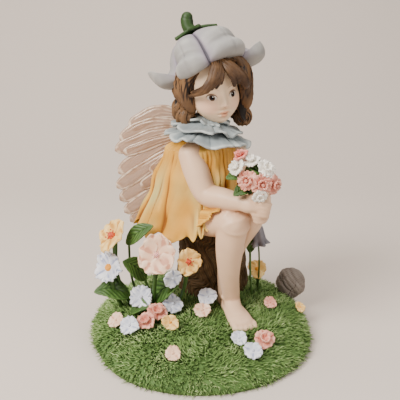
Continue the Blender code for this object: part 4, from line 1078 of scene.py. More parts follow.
FRINGE = (
    # parting, end across, end height, thickness
    (-1.6, -14.4, -2.0, 1.8),
    (-1.6, -13.2, 1.0, 1.9),
    (-1.4, -11.2, 2.6, 2.0),
    (-1.2, -8.8, 2.9, 1.9),
    (-1.0, -6.8, 3.8, 1.8),
    (-0.8, -4.8, 4.4, 1.6),
    (-0.6, -2.6, 6.2, 1.4),
    (1.0, 4.4, 3.6, 1.5),
    (1.0, 3.0, 6.0, 1.3),
    (1.2, 6.4, 4.4, 1.7),
    (1.4, 8.4, 3.6, 1.8),
    (1.6, 10.4, 2.4, 1.9),
    (1.6, 12.2, 0.2, 2.0),
    (1.6, 13.4, -3.0, 1.9),
)


def hair_locks():
    chance = np.random.default_rng(7)
    locks = [egg("hair_cap", in_head((0.0, 3.2, 1.8)), (14.3, 13.9, 14.6), HEAD_AXES)]
    for layer, (count, out, drop_more) in enumerate(LOCK_LAYERS):
        for step in range(count):
            turn = LOCKS_FROM + LOCKS_ROUND * (step + 0.5 * layer) / (count - 1 + 0.5 * layer)
            near_face = abs(math.cos(turn / 2)) ** 2
            her_left = beside(turn, HER_LEFT)
            her_right = beside(turn, HER_RIGHT)
            drop = HAIR_FALL + 1.2 * math.sin(4 * turn) - near_face + drop_more
            drop += 5.5 * her_left + 0.5 * her_right + chance.uniform(-1.0, 1.0)
            curl = 0.06 + 0.05 * math.sin(3 * turn) - 0.05 * (her_left + her_right)
            locks.append(side_lock(turn, drop, curl, chance.uniform(1.9, 2.5), out, chance.uniform(0, 9)))
    for step in range(CURLS):
        turn = CURLS_FROM + CURLS_ROUND * step / (CURLS - 1)
        height = chance.uniform(-0.8, 0.8) - CURL_DOWN - 5.0 * beside(turn, HER_LEFT)
        locks.append(curl_under(turn, height, chance.uniform(2.8, 3.6), chance.uniform(0, 9)))
    for start, end_x, end_z, radius in FRINGE:
        locks.append(fringe_lock(start, end_x, end_z, radius, chance.uniform(0, 9)))
    return locks


hair = join(hair_locks(), "hair")
mark_relief(hair, 2, 0.06)
hair_paint = painted("hair_paint", (0.034, 0.015, 0.007), (0.006, 0.003, 0.002), (0.19, 0.10, 0.042), 0.5,
                     wash_amount=1.0, brush_amount=0.9, mottle=60.0, grain=0.05)
settle(hair, hair_paint, "girl", "girl")

# Hat
# An upturned bellflower of five puffed lobes is cast apart and glued on her head.
# The front lobes roll up at the brim and two tips curl out as horns; it is pale grey with lilac seams.
HAT_PLACE = (5.6, 9.5, 128.5)
HAT_LEAN = math.radians(23.0)
HAT_BACK = math.radians(18.0)
HAT_TOP = 18.8
HAT_LOBES = 5
CROWN_SHIFT = 2.4
LOBE_FIRST = math.radians(180.0)
# Sections from the crown to the rim and back under it, as reach and height along the hat's own axis
SEAM_SECTION = (
    (0.0, 18.7), (6.0, 18.0), (10.6, 15.6), (13.8, 11.6), (15.2, 7.4),
    (15.9, 3.8), (16.6, 1.6), (16.4, 0.2), (14.6, -0.2), (12.0, 0.2),
)
ROLL_SECTION = (
    (0.0, 18.9), (6.4, 18.7), (12.4, 16.8), (16.8, 13.2), (18.2, 9.4),
    (18.3, 7.0), (20.9, 4.4), (20.8, 0.6), (17.8, -2.2), (12.0, 0.0),
)
RIGHT_ROLL = (
    (0.0, 18.9), (6.4, 18.9), (12.6, 17.2), (17.0, 14.2), (18.4, 10.8),
    (18.6, 8.6), (21.2, 5.8), (21.0, 2.4), (17.8, 0.0), (12.0, 0.6),
)
LEFT_HORN = (
    (0.0, 18.9), (6.2, 18.5), (11.6, 16.0), (15.6, 11.8), (17.4, 7.8),
    (20.0, 6.4), (24.0, 8.4), (27.4, 11.4), (25.4, 2.6), (12.0, -2.0),
)
RIGHT_HORN = (
    (0.0, 18.9), (6.2, 18.5), (11.6, 16.2), (15.8, 12.0), (18.0, 6.8),
    (21.0, 3.4), (24.6, 3.0), (27.8, 6.2), (26.0, -1.8), (12.0, -2.4),
)
TIP_SECTION = (
    (0.0, 18.9), (6.2, 18.5), (11.6, 16.0), (15.8, 11.8), (18.0, 7.2),
    (20.0, 3.6), (23.4, 3.0), (25.8, 5.4), (22.8, -1.2), (12.0, -2.0),
)
SEAM_SHIFTS = (
    # the front seam and the right horn lie off an even division: where, how far, spread
    (math.radians(275.0), math.radians(15.0), 0.55),
    (math.radians(14.0), math.radians(15.0), 0.60),
)
LOBE_SECTIONS = (LEFT_HORN, ROLL_SECTION, RIGHT_ROLL, RIGHT_HORN, TIP_SECTION)
HAT_AXES = np.array(Matrix.Rotation(-HAT_LEAN, 3, "Y") @ Matrix.Rotation(-HAT_BACK, 3, "X"))


def in_hat(x, y, z):
    """Places given along the hat's own axes; the crown leans a little further."""
    shift = np.minimum(CROWN_SHIFT * (np.maximum(0.0, z) / HAT_TOP) ** 2, 1.6 * CROWN_SHIFT)
    local = np.stack([x - shift, y, z], axis=1)
    return local @ HAT_AXES.T + np.array(HAT_PLACE)


def seam_share(way):
    """How far each azimuth lies from its lobe's middle, 0 to 1 at the seam, and that lobe's number."""
    shifted = way.copy()
    for shift_at, shift, spread in SEAM_SHIFTS:
        shifted += shift * np.exp((np.cos(way - shift_at) - 1) / spread**2)
    lobe = (shifted - LOBE_FIRST) / (math.tau / HAT_LOBES)
    nearest = np.round(lobe)
    return np.clip(np.abs(lobe - nearest) * 2, 0, 1), (nearest % HAT_LOBES).astype(int)


def mark_hat_seams(piece):
    """Stores where the lilac wash lies: round the seams and the crown."""
    local = (shape_points(piece) - np.array(HAT_PLACE)) @ HAT_AXES
    shift = np.clip(CROWN_SHIFT * (np.maximum(0.0, local[:, 2]) / HAT_TOP) ** 2, 0, None)
    off = seam_share(np.arctan2(local[:, 1], local[:, 0] + shift) % math.tau)[0]
    crown = np.exp(-((np.clip(19.0 - local[:, 2], 0, None) / 3.5) ** 2))
    mark(piece, "tint", 0.75 * np.exp(-(((1 - off) / 0.25) ** 2)) + 0.5 * crown)


def hat_shape(u, v):
    way = u * math.tau
    off, nearest = seam_share(way)
    sections = np.array([along_knots(section, v) for section in LOBE_SECTIONS])
    seam = along_knots(SEAM_SECTION, v)
    chosen = sections[nearest, np.arange(len(v))]
    horned = (nearest != 1) & (nearest != 2)
    low = np.clip((v - 0.45) / 0.3, 0, 1)
    blunt = np.cos(np.clip(off, 0, 1) * math.pi / 2) ** (0.62 + 0.4 * low * horned)
    reach, height = (seam + (chosen - seam) * blunt[:, None]).T
    groove = 0.75 * np.exp(-((1 - off) / 0.05) ** 2) * np.clip(reach / 6, 0, 1)
    vein = 0.22 * np.exp(-(off / 0.05) ** 2) * np.clip(reach / 6, 0, 1)
    dent = 0.5 * waves(reach * np.cos(way), reach * np.sin(way) + 0.7 * height, 13.0, 17)
    reach = reach - groove - vein + dent * np.clip(reach / 9, 0, 1)
    points = in_hat(reach * np.cos(way), reach * np.sin(way), height)
    return points.T


hat = bend_grid("bellflower", 400, 170, hat_shape)
mark_hat_seams(hat)
soften_hat = hat.modifiers.new("soften", "SMOOTH")
soften_hat.iterations = 4
apply_modifiers(hat)
mark_relief(hat, 45, 0.5)
hat_paint = painted("hat_paint", (0.285, 0.28, 0.275), (0.085, 0.08, 0.10), (0.44, 0.435, 0.41), 0.55,
                    second=(0.27, 0.225, 0.30), wash_amount=0.95, brush_amount=0.7, mottle=70.0, grain=0.03)
settle(hat, hat_paint, "hat", "bellflower_hat")

# Calyx
# Five green sepals lie on the hat's crown round a thick stem, in one small casting.
# It is painted dark green and glued on the crown.
STEM_KNOTS = (
    # across, forward, height over the crown, radius
    (0.0, 0.0, 0.0, 4.2),
    (-0.4, 0.0, 2.6, 3.0),
    (-0.4, 0.0, 5.4, 2.9),
    (0.2, -0.2, 8.2, 3.0),
    (0.8, -0.6, 9.4, 2.7),
)
SEPAL_LENGTH = 10.0
SEPAL_WALL = 1.4
SEPAL_HALF_WIDTH = 2.9
SEPAL_FIRST = LOBE_FIRST + 0.6
CALYX_SHIFT = 1.8


def sepal(turn):
    def leaf_shape(u, v):
        side = (u - 0.5) * 2
        width = SEPAL_HALF_WIDTH * np.sin(math.pi * np.clip(0.3 + 0.7 * v, 0, 1)) ** 0.8
        reach = 1.2 + SEPAL_LENGTH * v
        height = HAT_TOP + 2.0 - 0.026 * reach**2 + 1.7 * v**4 + 0.5 * np.abs(side) * np.sin(math.pi * v)
        across = side * width
        x = reach * math.cos(turn) - across * math.sin(turn)
        y = reach * math.sin(turn) + across * math.cos(turn)
        points = in_hat(x + CALYX_SHIFT, y, height)
        return points.T

    made = bend_grid("sepal", 14, 22, leaf_shape)
    thicken(made, SEPAL_WALL)
    return made


def hat_stem():
    knots = []
    for x, y, up, radius in STEM_KNOTS:
        place = in_hat(np.array([x + CALYX_SHIFT]), np.array([y]), np.array([HAT_TOP + up]))[0]
        knots.append((*place, radius))
    return sweep("hat_stem", knots, columns=24, rows=40)


sepals = [sepal(SEPAL_FIRST + lobe * math.tau / HAT_LOBES) for lobe in range(HAT_LOBES)]
calyx = join(sepals + [hat_stem()], "calyx")
mark_relief(calyx, 8, 0.25)
calyx_paint = painted("calyx_paint", (0.010, 0.030, 0.005), (0.003, 0.010, 0.002), (0.03, 0.075, 0.012), 0.5,
                      mottle=200.0)
settle(calyx, calyx_paint, "leaf", "hat_calyx")

# Wings
# Each wing is a thin moulding in milky plastic, glued to her back: a fore wing and a hind wing
# of long narrow lobes, with raised rims and veins that are brushed with a pearly white.
WING_ROOT = (-3.0, 22.5, 86.0)
WING_CUP = 0.0016
FEATHERS = (
    # root, middle and tip across and up, half width, how far forward it lies
    ((-7.0, 105.5), (-20.0, 108.3), (-35.2, 100.4), 3.7, 0.0),
    ((-6.0, 102.5), (-24.0, 102.2), (-40.0, 94.0), 3.8, 0.3),
    ((-5.0, 100.0), (-22.0, 97.8), (-42.6, 88.6), 3.4, 0.6),
    ((-5.0, 98.0), (-19.0, 94.6), (-38.6, 87.4), 2.9, 0.9),
    ((-5.0, 97.0), (-21.0, 90.4), (-41.4, 77.0), 3.9, 0.2),
    ((-5.0, 94.0), (-22.0, 83.6), (-42.6, 69.4), 3.8, 0.5),
    ((-4.0, 91.0), (-20.0, 77.4), (-41.2, 62.6), 3.7, 0.2),
    ((-4.0, 88.0), (-18.6, 71.0), (-39.0, 56.0), 3.8, 0.5),
    ((-4.0, 85.0), (-16.0, 66.6), (-36.2, 51.0), 3.8, 0.2),
    ((-4.0, 83.0), (-13.0, 65.0), (-30.0, 50.2), 3.6, 0.5),
    ((-4.0, 81.0), (-10.0, 64.0), (-22.0, 52.6), 3.4, 0.2),
    ((-5.0, 98.0), (-14.0, 87.4), (-25.0, 78.0), 2.9, 1.1),
    ((-5.0, 93.0), (-16.0, 80.0), (-30.0, 70.0), 3.2, 1.1),
    ((-4.0, 87.0), (-13.0, 72.0), (-26.0, 60.0), 3.2, 1.1),
)
FEATHER_WALL = 0.6
FACING = math.radians(302.0)
SPINE = (2.0, 14.0, 0.0)


def feather(root, middle, tip, half_width, forward, mirrored):
    """One long lobe of a wing, bent from its root to a rounded tip, with raised rims and fine veins."""
    her_left = np.array((math.cos(FACING + math.pi / 2), math.sin(FACING + math.pi / 2), 0.0))
    vein = {}

    def feather_shape(u, v):
        side = 2 * u - 1
        knots = (root, middle, tip)
        line = along_knots(knots, v)
        ahead = ahead_on_knots(knots, v)
        ahead /= np.linalg.norm(ahead, axis=1)[:, None]
        blunt = np.sqrt(np.clip(1 - (np.clip(v - 0.84, 0, 1) / 0.16) ** 2, 0, 1))
        broad = half_width * (0.32 + 0.68 * np.sin(0.5 * math.pi * np.clip(v / 0.8, 0, 1))) * blunt
        broad = broad * (1 + 0.05 * np.sin(21 * v + 3 * side + half_width * 40))
        across = np.stack([-ahead[:, 1], ahead[:, 0]], axis=1)
        flat = line + across * (side * broad)[:, None]
        rim = np.exp(-(((np.abs(side) - 0.84) / 0.10) ** 2))
        fine = np.exp(-(((side - 0.34 + 0.10 * np.sin(5 * v)) / 0.09) ** 2))
        fine += np.exp(-(((side + 0.36 - 0.10 * np.sin(4 * v + 1.0)) / 0.09) ** 2))
        end = np.exp(-(((v - 0.965) / 0.02) ** 2)) * (np.abs(side) < 0.9)
        vein["all"] = np.clip(rim + 0.75 * fine * np.clip(1.7 - 1.6 * v, 0, 1) + end, 0, 1)
        far = np.hypot(flat[:, 0] - WING_ROOT[0], flat[:, 1] - WING_ROOT[2])
        deep = WING_ROOT[1] + WING_CUP * far**2 - forward - 0.7 * (1 - side**2) * blunt - 0.4 * vein["all"]
        points = np.stack([flat[:, 0], deep, flat[:, 1]], axis=1)
        if mirrored:
            points -= 2 * ((points - np.array(SPINE)) @ her_left)[:, None] * her_left
        return points.T

    made = bend_grid("feather", 26, 46, feather_shape)
    mark(made, "relief", 0.35 + 0.6 * vein["all"][: len(made.data.vertices)])
    thicken(made, FEATHER_WALL)
    return made


def wing(name, mirrored):
    return join([feather(*values, mirrored) for values in FEATHERS], name)


def wing_paint():
    """Milky see-through plastic, denser along the veins, under a thin clear coat."""
    material = painted("wing_plastic", (0.42, 0.255, 0.16), (0.35, 0.21, 0.13), (0.74, 0.60, 0.47), 0.28,
                       wash_amount=0.4, brush_amount=0.95, mottle=300.0, grain=0.04)
    nodes = material.node_tree.nodes
    links = material.node_tree.links
    shader = nodes["Principled BSDF"]
    relief = nodes.new("ShaderNodeAttribute")
    relief.attribute_name = "relief"
    density = nodes.new("ShaderNodeMapRange")
    density.inputs["From Min"].default_value = 0.35
    density.inputs["From Max"].default_value = 0.95
    density.inputs["To Min"].default_value = 0.6
    density.inputs["To Max"].default_value = 0.88
    links.new(relief.outputs["Fac"], density.inputs["Value"])
    links.new(density.outputs["Result"], shader.inputs["Alpha"])
    shader.inputs["Coat Weight"].default_value = 0.5
    shader.inputs["Coat Roughness"].default_value = 0.15
    return material


wing_plastic = wing_paint()
for wing_name, is_mirrored in (("right_wing", False), ("left_wing", True)):
    settle(wing(wing_name + "_moulding", is_mirrored), wing_plastic, "wing", wing_name)

# Flowers on the mound
# Each flower is a small resin casting of open petals on its own stem, glued into the ground.
# The petals are washed with a deeper colour in their hollows, and brushed with a paler one on their ridges.
PETAL_WALL = 0.55
EVEN_PAINT = 0.5
PETAL_COLOURS = {
    # the material's name, its paint, wash and brushed colours, roughness, size of the mottle
    "yellow": ("yellow_petals", (0.76, 0.46, 0.13), (0.50, 0.22, 0.035), (0.88, 0.68, 0.30), 0.5, 200.0),
    "pink": ("pink_petals", (0.68, 0.27, 0.20), (0.32, 0.08, 0.05), (0.86, 0.54, 0.43), 0.5, 200.0),
    "pale_pink": (
        "pale_pink_petals", (0.78, 0.50, 0.34), (0.52, 0.22, 0.14), (0.88, 0.69, 0.53), 0.5, 150.0,
    ),
    "lilac_white": (
        "lilac_white_petals", (0.56, 0.59, 0.68), (0.23, 0.26, 0.42), (0.80, 0.81, 0.85), 0.5, 200.0,
    ),
    "rose_red": ("rose_petals", (0.68, 0.17, 0.13), (0.35, 0.04, 0.03), (0.82, 0.42, 0.36), 0.5, 200.0),
    "white": ("white_petals", (0.82, 0.78, 0.70), (0.50, 0.42, 0.33), (0.92, 0.90, 0.86), 0.5, 200.0),
    "bellflower": (
        "bellflower_petals", (0.16, 0.155, 0.18), (0.05, 0.045, 0.06), (0.34, 0.33, 0.36), 0.5, 150.0,
    ),
    "leaf": ("leaf_green", (0.035, 0.085, 0.014), (0.009, 0.026, 0.006), (0.10, 0.20, 0.045), 0.42, 200.0),
}
PETAL_PAINTS = {key: painted(*row[:5], mottle=row[5]) for key, row in PETAL_COLOURS.items()}
HEART_COLOURS = {
    # as for the petals
    "red": ("red_hearts", (0.50, 0.05, 0.02), (0.25, 0.02, 0.01), (0.72, 0.20, 0.08), 0.4, 300.0),
    "orange": ("orange_hearts", (0.80, 0.33, 0.03), (0.45, 0.14, 0.01), (0.90, 0.52, 0.12), 0.5, 300.0),
    "rosy": ("rosy_hearts", (0.75, 0.38, 0.36), (0.35, 0.07, 0.10), (0.95, 0.82, 0.80), 0.4, 500.0),
}
HEART_PAINTS = {key: painted(*row[:5], mottle=row[5]) for key, row in HEART_COLOURS.items()}
FLOWERS = (
    # name, paint, heart, centre, facing, reach, petals, layers, foot
    ("tall_yellow_flower", "yellow", "red", (-42.0, 2.0, 50.4), (-0.62, -0.42, 0.62), 9.2, 5, 1,
     (-34.0, 6.0)),
    ("large_pink_flower", "pale_pink", "rosy", (-20.4, -6.0, 43.9), (-0.1, -0.9, 0.35), 9.8, 5, 1,
     (-23.0, 3.0)),
    ("yellow_flower_by_stump", "yellow", "red", (-5.6, -4.0, 39.6), (0.35, -0.85, 0.35), 6.6, 5, 1,
     (-12.0, 6.0)),
    ("drooping_blue_flower", "lilac_white", "", (-13.3, -9.0, 33.4), (0.45, -0.85, -0.05), 4.8, 5, 1,
     (-20.0, 5.0)),
    ("large_lilac_daisy", "lilac_white", "orange", (-44.2, 0.0, 35.2), (-0.45, -0.7, 0.4), 8.2, 8, 1,
     (-38.0, 5.0)),
    ("front_daisy", "lilac_white", "", (-28.8, -3.5, 21.2), (0.0, -0.8, 0.6), 6.0, 8, 1, (-28.5, 1.0)),
    ("tilted_blue_flower", "lilac_white", "", (-13.8, -2.4, 17.0), (0.35, -0.5, 0.75), 5.6, 5, 1,
     (-14.0, -0.5)),
    ("pink_bloom_left", "pink", "", (-25.5, -15.8, 14.2), (-0.2, -0.6, 0.8), 4.8, 6, 2, (-25.5, -14.5)),
    ("pink_bloom_right", "pink", "", (-20.6, -9.7, 16.2), (0.1, -0.6, 0.8), 5.0, 6, 2, (-20.6, -8.2)),
    ("yellow_bloom", "yellow", "", (-14.1, -16.8, 14.0), (0.25, -0.65, 0.75), 4.2, 5, 1, (-14.1, -15.2)),
    ("blue_bloom_left", "lilac_white", "", (-33.0, -18.9, 13.4), (-0.1, -0.65, 0.75), 4.8, 7, 1,
     (-33.0, -17.4)),
    ("pale_bloom_left", "pale_pink", "", (-40.2, -11.6, 12.6), (-0.3, -0.6, 0.75), 4.0, 5, 1,
     (-40.2, -10.4)),
    ("blue_flower_by_foot", "lilac_white", "", (3.5, 1.5, 19.0), (0.1, -0.6, 0.8), 5.0, 5, 1, (3.5, 3.0)),
    ("pale_bloom_by_foot", "pale_pink", "", (1.2, -5.8, 15.2), (-0.1, -0.6, 0.75), 4.2, 5, 1, (1.2, -4.4)),
    ("yellow_flower_behind", "yellow", "orange", (29.9, 22.0, 26.0), (0.1, -0.85, 0.5), 5.2, 6, 1,
     (31.0, 24.5)),
    ("small_pink_bloom", "pink", "", (35.2, 3.9, 14.8), (0.1, -0.6, 0.8), 3.4, 5, 1, (35.2, 5.2)),
    ("small_yellow_bloom", "yellow", "", (51.0, 8.3, 10.4), (0.4, -0.5, 0.75), 3.0, 5, 1, (49.5, 9.0)),
    ("pink_bloom_by_toes", "pink", "", (29.1, -28.2, 11.0), (0.15, -0.6, 0.8), 5.0, 5, 2, (29.0, -26.6)),
    ("blue_bloom_front", "lilac_white", "", (23.5, -36.4, 9.9), (0.0, -0.6, 0.8), 4.4, 6, 1, (23.4, -35.0)),
    ("blue_bloom_by_toes", "lilac_white", "", (18.0, -27.0, 11.2), (-0.1, -0.6, 0.8), 3.8, 5, 1,
     (18.0, -25.6)),
    ("pale_bloom_front", "pale_pink", "", (-11.8, -39.1, 10.0), (0.0, -0.6, 0.8), 3.7, 5, 1, (-11.8, -37.8)),
)


def turn_towards(direction):
    """A turn whose Z axis points along the direction."""
    return np.array(Vector(direction).normalized().to_track_quat("Z", "Y").to_matrix())


def petal(reach, width, cup, seed, grain=16):
    """One ruffled petal that points along +Y from the flower's heart, and faces +Z."""

    def petal_shape(u, v):
        side = (u - 0.5) * 2
        broad = 0.5 * width * np.sin(math.pi * (0.12 + 0.72 * v**0.9)) ** 0.7
        tip = reach * (0.08 + 0.92 * v) * (1 - 0.10 * v**3 * side**2)
        tip -= 0.05 * reach * v**4 * (1 + np.cos(5.0 * side + seed))
        height = cup * v**1.5 * (0.6 + 0.4 * side**2)
        height += 0.06 * np.sin(6.5 * side + seed) * v**2 + 0.03 * np.sin(3.0 * side - 2 * seed) * v
        height -= 0.04 * np.exp(-((side / 0.16) ** 2)) * v + 0.10 * np.clip(v - 0.7, 0, 1) / 0.3
        return side * broad, tip, reach * height

    made = bend_grid("petal", grain, grain, petal_shape)
    thicken(made, PETAL_WALL)
    return made


def place(piece, turn, centre):
    move_points(piece, shape_points(piece) @ turn.T + np.array(centre, float))
    return piece


def spin(angle, tip_up=0.0):
    turned = Matrix.Rotation(angle, 3, "Z") @ Matrix.Rotation(tip_up, 3, "X")
    return np.array(turned)


def petals_of(centre, facing, reach, count, layers, seed):
    """Overlapping petals round a heart, in one to three layers."""
    turn = turn_towards(facing)
    grain = 16 if reach > 5 else 12
    made = []
    width = min(1.35, 7.4 / count) * reach * 0.95
    for layer in range(layers):
        scale = 1 - 0.34 * layer
        for step in range(count):
            angle = (step + 0.5 * layer) * math.tau / count
            uneven = 1 + 0.09 * math.sin(2.7 * step + seed)
            cup = 0.22 + 0.3 * layer
            one = petal(reach * scale * uneven, width * scale / uneven, cup, seed + 1.9 * step, grain)
            lift = 0.05 * (step % 2) + 0.16 * layer
            move_points(one, shape_points(one) @ spin(angle, 0.10 + 0.45 * layer).T + (0, 0, lift * reach))
            made.append(place(one, turn, centre))
    return made


def heart_of(centre, facing, reach, kind):
    """The raised middle: a seedy dome, or a short column of stamens."""
    turn = turn_towards(facing)
    size = {"red": 0.2, "orange": 0.22, "rosy": 0.13}.get(kind, 0.16) * reach
    dome = egg("heart", (0, 0, 0.1 * reach), (size, size, size * (0.9 if kind == "orange" else 1.3)))
    points = shape_points(dome)
    seeds = 1 + 0.09 * np.sin(9 * points[:, 0] / size) * np.sin(9 * points[:, 1] / size)
    move_points(dome, points * seeds[:, None])
    parts = [dome]
    if kind in ("red", "rosy"):
        for step in range(6):
            angle = step * math.tau / 6
            out = 1.35 * size
            tip = (out * math.cos(angle), out * math.sin(angle), 0.3 * reach)
            parts.append(egg("stamen", tip, (0.38, 0.38, 0.45)))
    heart = join(parts, "heart")
    mark_relief(heart, 3, 0.2)
    return place(heart, turn, centre)


def stem_of(centre, facing, reach, foot):
    back = np.array(centre, float) - turn_towards(facing)[:, 2] * 0.8
    end = foot_in_ground(foot)
    middle = 0.5 * (back + end) + 0.12 * (back[2] - end[2]) * turn_towards(facing)[:, 2] * (1, 1, 0)
    radius = 0.75 if reach < 6 else 0.95
    return sweep("stem", [(*back, 1.5 * radius), (*middle, radius), (*end, radius)], columns=12, rows=24)


def flower(name, colour, kind, centre, facing, reach, count, layers, foot, seed):
    petals = join(petals_of(centre, facing, reach, count, layers, seed), name + "_petals")
    mark_relief(petals, 6, 0.11)
    settle(petals, PETAL_PAINTS[colour], colour, name)
    plain_heart = HEART_PAINTS["orange"] if colour == "yellow" else PETAL_PAINTS[colour]
    heart = heart_of(centre, facing, reach, kind)
    heart.name = name + "_heart"
    settle(heart, HEART_PAINTS.get(kind, plain_heart), colour, name)
    if foot:
        stem = stem_of(centre, facing, reach, foot)
        stem.name = name + "_stem"
        mark_even(stem, EVEN_PAINT)
        settle(stem, PETAL_PAINTS["leaf"], "leaf", name)


for order, flower_values in enumerate(FLOWERS):
    flower(*flower_values, 1.3 * order)

# Leaves
# Resin leaves with a sunk midrib and side veins stand between the flowers, each glued by its stalk.
# They are painted dark green; two small ones lie against the bouquet.
LEAVES = (
    # name, stalk end of the blade, tip, rise, width, foot
    ("top_leaf", (-36.0, 3.0, 46.5), (-22.5, -0.5, 56.8), 1.5, 8.6, (-30.0, 8.0)),
    ("middle_leaf", (-26.5, 2.0, 28.5), (-37.0, -4.0, 40.0), 2.0, 11.0, (-26.0, 6.0)),
    ("left_low_leaf", (-35.0, 2.0, 19.5), (-52.0, -1.5, 23.0), 3.0, 11.5, (-35.0, 3.5)),
    ("right_low_leaf", (-24.0, 1.0, 17.0), (-10.0, -4.5, 29.0), 2.5, 12.0, (-22.0, 2.0)),
    ("dark_front_leaf", (-34.0, -2.5, 13.5), (-25.0, -8.5, 18.0), 2.0, 9.0, (-33.0, -2.0)),
    ("leaf_behind_knee", (25.5, 17.0, 37.0), (27.0, 12.5, 50.5), 1.0, 5.4, (27.0, 16.5)),
)
LEAF_WALL = 0.6
BOUQUET_LEAVES = (
    ("bouquet_leaf_upper", (19.5, -16.0, 84.5), (11.5, -17.0, 83.8), 0.8, 5.6, None),
    ("bouquet_leaf_lower", (21.5, -16.5, 79.0), (14.8, -19.5, 76.6), 0.8, 6.2, None),
)


def leaf(name, base, tip, rise, width, foot):
    low = np.array(base, float)
    high = np.array(tip, float)
    along = high - low
    across = np.cross(along, (0.0, -0.7, 0.7))
    across /= np.linalg.norm(across)
    over = np.cross(across, along)
    over /= np.linalg.norm(over)

    def blade_shape(u, v):
        side = (u - 0.5) * 2
        broad = 0.5 * width * np.sin(math.pi * v**0.85) ** 0.75 * (1 - 0.25 * v) + 0.25
        veins = 0.10 * np.cos(13 * (v + 0.35 * np.abs(side)) * math.tau / 2)
        height = 0.9 * np.abs(side) ** 1.2 + veins * (np.abs(side) > 0.05)
        height -= 0.25 * np.exp(-((side / 0.09) ** 2))
        middle = low + along * v[:, None] + np.array((0.0, 0.0, rise)) * np.sin(math.pi * v)[:, None]
        points = middle + across * (side * broad)[:, None] + over * (height * np.sin(math.pi * v))[:, None]
        return points.T

    blade = bend_grid(name + "_blade", 30, 46, blade_shape)
    thicken(blade, LEAF_WALL)
    parts = [blade]
    if foot:
        end = foot_in_ground(foot)
        bow = 0.5 * (low + end) - 0.1 * along * (1, 1, 0)
        knots = [(*(low + 0.1 * along), 0.6), (*bow, 0.6), (*end, 0.7)]
        parts.append(sweep("stalk", knots, columns=12, rows=20))
    made = join(parts, name + "_green")
    mark_relief(made, 5, 0.12)
    settle(made, PETAL_PAINTS["leaf"], "leaf", name)


for leaf_values in LEAVES + BOUQUET_LEAVES:
    leaf(*leaf_values)

# Drooping bellflower
# One grey-lilac bell hangs behind her knee from a stalk that rises out of the ground and hooks over.
# Bell and stalk are one thin casting, painted and glued into the mound.
BELL_MOUTH = np.array((30.4, 13.5, 42.5))
BELL_CROWN = np.array((28.4, 14.0, 53.5))
BELL_FOOT = (30.5, 19.0)
BELL_WALL = 0.7
BELL_STALK = (
    (30.6, 18.8, 34.0, 0.45),
    (28.8, 18.6, 51.5, 0.45),
    (28.5, 17.0, 55.0, 0.6),
    (28.4, 14.6, 54.6, 0.9),
    (28.4, 14.1, 53.0, 1.2),
)
BELL_SECTION = ((0.0, 0.0), (0.03, 1.4), (0.2, 2.6), (0.5, 3.0), (0.8, 3.4), (1.0, 4.2))


def bell_shape(u, v):
    share, radius = along_knots(BELL_SECTION, v).T
    axis = BELL_MOUTH - BELL_CROWN
    turn = turn_towards(axis)
    way = u * math.tau
    radius = radius * (1 + 0.07 * np.cos(5 * way)) + 0.9 * np.clip(v - 0.75, 0, 1) * 4 * np.cos(5 * way)
    radius = np.maximum(0.0, radius) * (v > 0)
    ring = np.stack([radius * np.cos(way), radius * np.sin(way), np.zeros_like(way)], axis=1)
    points = BELL_CROWN + axis * share[:, None] + ring @ turn.T
    return points.T


drooping_bell = bend_grid("drooping_bell", 80, 40, bell_shape)
thicken(drooping_bell, BELL_WALL, -1.0)
mark_relief(drooping_bell, 8, 0.25)
settle(drooping_bell, PETAL_PAINTS["bellflower"], "bellflower", "bellflower_behind_knee")
bell_stalk = sweep("bell_stalk", ((*foot_in_ground(BELL_FOOT), 0.5),) + BELL_STALK, columns=14, rows=50)
mark_even(bell_stalk, EVEN_PAINT)
settle(bell_stalk, PETAL_PAINTS["leaf"], "leaf", "bellflower_behind_knee")

# Bouquet
# A leafy core is held in her hands, and separate little blooms are glued round it:
# a rose, four white blooms and three pink ones that run together.
BLOOMS = (
    # name, paint, centre, reach, petals, layers
    ("bouquet_rose", "rose_red", (18.2, -14.5, 93.2), 4.0, 5, 2),
    ("bouquet_white_left", "white", (16.4, -17.5, 88.9), 4.3, 7, 2),
    ("bouquet_white_top", "white", (22.6, -15.8, 91.0), 4.2, 7, 2),
    ("bouquet_white_right", "white", (28.8, -17.6, 88.2), 4.5, 7, 2),
    ("bouquet_white_low", "white", (26.2, -21.0, 77.0), 3.5, 6, 2),
    ("bouquet_pink_left", "pink", (20.9, -19.8, 83.6), 4.9, 9, 3),
    ("bouquet_pink_middle", "pink", (26.8, -20.4, 82.2), 5.0, 9, 3),
    ("bouquet_pink_right", "pink", (32.0, -17.4, 81.2), 4.8, 9, 3),
)
CORE_KNOTS = (
    (24.0, -15.5, 72.0, 2.0),
    (24.5, -14.0, 76.0, 3.0),
    (24.8, -13.5, 80.0, 5.2),
    (24.6, -13.5, 86.0, 5.0),
    (24.0, -13.5, 89.5, 3.0),
)
BOUQUET_CORE = np.array((24.8, -13.5, 82.0))
BOUQUET_HALF = np.array((8.0, 4.6, 8.0))
core = sweep("bouquet_core", CORE_KNOTS, columns=60, rows=60, section=strand_section(0.4, 0.8))
mark_relief(core, 6, 0.3)
settle(core, PETAL_PAINTS["leaf"], "leaf", "bouquet_greens")
for order, (bloom_name, bloom_colour, centre, *reach_and_petals) in enumerate(BLOOMS):
    outwards = (np.array(centre) - BOUQUET_CORE) / BOUQUET_HALF
    flower(bloom_name, bloom_colour, "", centre, outwards, *reach_and_petals, None, 2.1 * order)

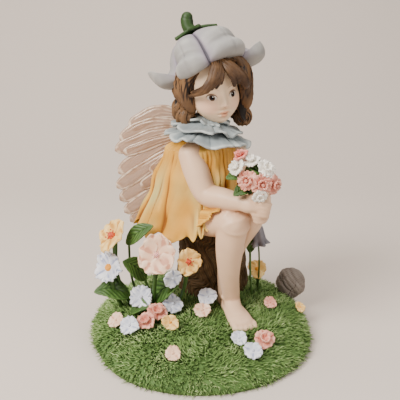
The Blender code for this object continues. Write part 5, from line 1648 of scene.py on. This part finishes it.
# Stage
# A plain pale floor bends up into a wall behind the figurine.
# The light is soft: a large lamp on each side and one above.
FLOOR_COLOUR = (0.62, 0.55, 0.50)
FLOOR_WIDTH = 3000.0
FLOOR_FRONT = -1200.0
FLOOR_LENGTH = 1500.0
BEND_LENGTH = 600.0
BEND_RADIUS = 380.0
WALL_HEIGHT = 1100.0
ROOM_COLOUR = (0.86, 0.84, 0.82)
ROOM_LIGHT = 0.34
LAMPS = (
    # place in metres, size in metres, power in watts
    ((-0.50, -0.45, 0.60), 0.4, 13.5),
    ((0.55, -0.45, 0.40), 0.5, 2.5),
    ((-0.05, 0.10, 0.85), 0.7, 6.0),
)
LAMP_COLOUR = (1.0, 0.94, 0.86)
LAMP_AIM = Vector((0.0, 0.0, 0.07))  # in metres


def backdrop(u, v):
    """A floor that rises into a wall behind the figurine in one soft bend."""
    along = (FLOOR_LENGTH + BEND_LENGTH + WALL_HEIGHT) * v
    bend = 0.5 * math.pi * np.clip((along - FLOOR_LENGTH) / BEND_LENGTH, 0, 1)
    y = FLOOR_FRONT + np.minimum(along, FLOOR_LENGTH) + BEND_RADIUS * np.sin(bend)
    z = BEND_RADIUS * (1 - np.cos(bend)) + np.clip(along - FLOOR_LENGTH - BEND_LENGTH, 0, None)
    return FLOOR_WIDTH * (u - 0.5), y, z


floor = bend_grid("floor", 4, 64, backdrop)
floor.data.shade_smooth()
floor_paint = bpy.data.materials.new("floor_paint")
floor_paint.use_nodes = True
floor_shader = floor_paint.node_tree.nodes["Principled BSDF"]
floor_shader.inputs["Base Color"].default_value = (*FLOOR_COLOUR, 1.0)
floor_shader.inputs["Roughness"].default_value = 0.9
floor.data.materials.append(floor_paint)
for lamp_place, lamp_size, lamp_power in LAMPS:
    bpy.ops.object.light_add(type="AREA", location=lamp_place)
    lamp = bpy.context.object
    lamp.data.size = lamp_size
    lamp.data.energy = lamp_power
    lamp.data.color = LAMP_COLOUR
    lamp.rotation_euler = (LAMP_AIM - Vector(lamp_place)).to_track_quat("-Z", "Y").to_euler()
world = bpy.data.worlds.new("pale_room")
bpy.context.scene.world = world
world.use_nodes = True
room_light = world.node_tree.nodes["Background"]
room_light.inputs["Color"].default_value = (*ROOM_COLOUR, 1.0)
room_light.inputs["Strength"].default_value = ROOM_LIGHT
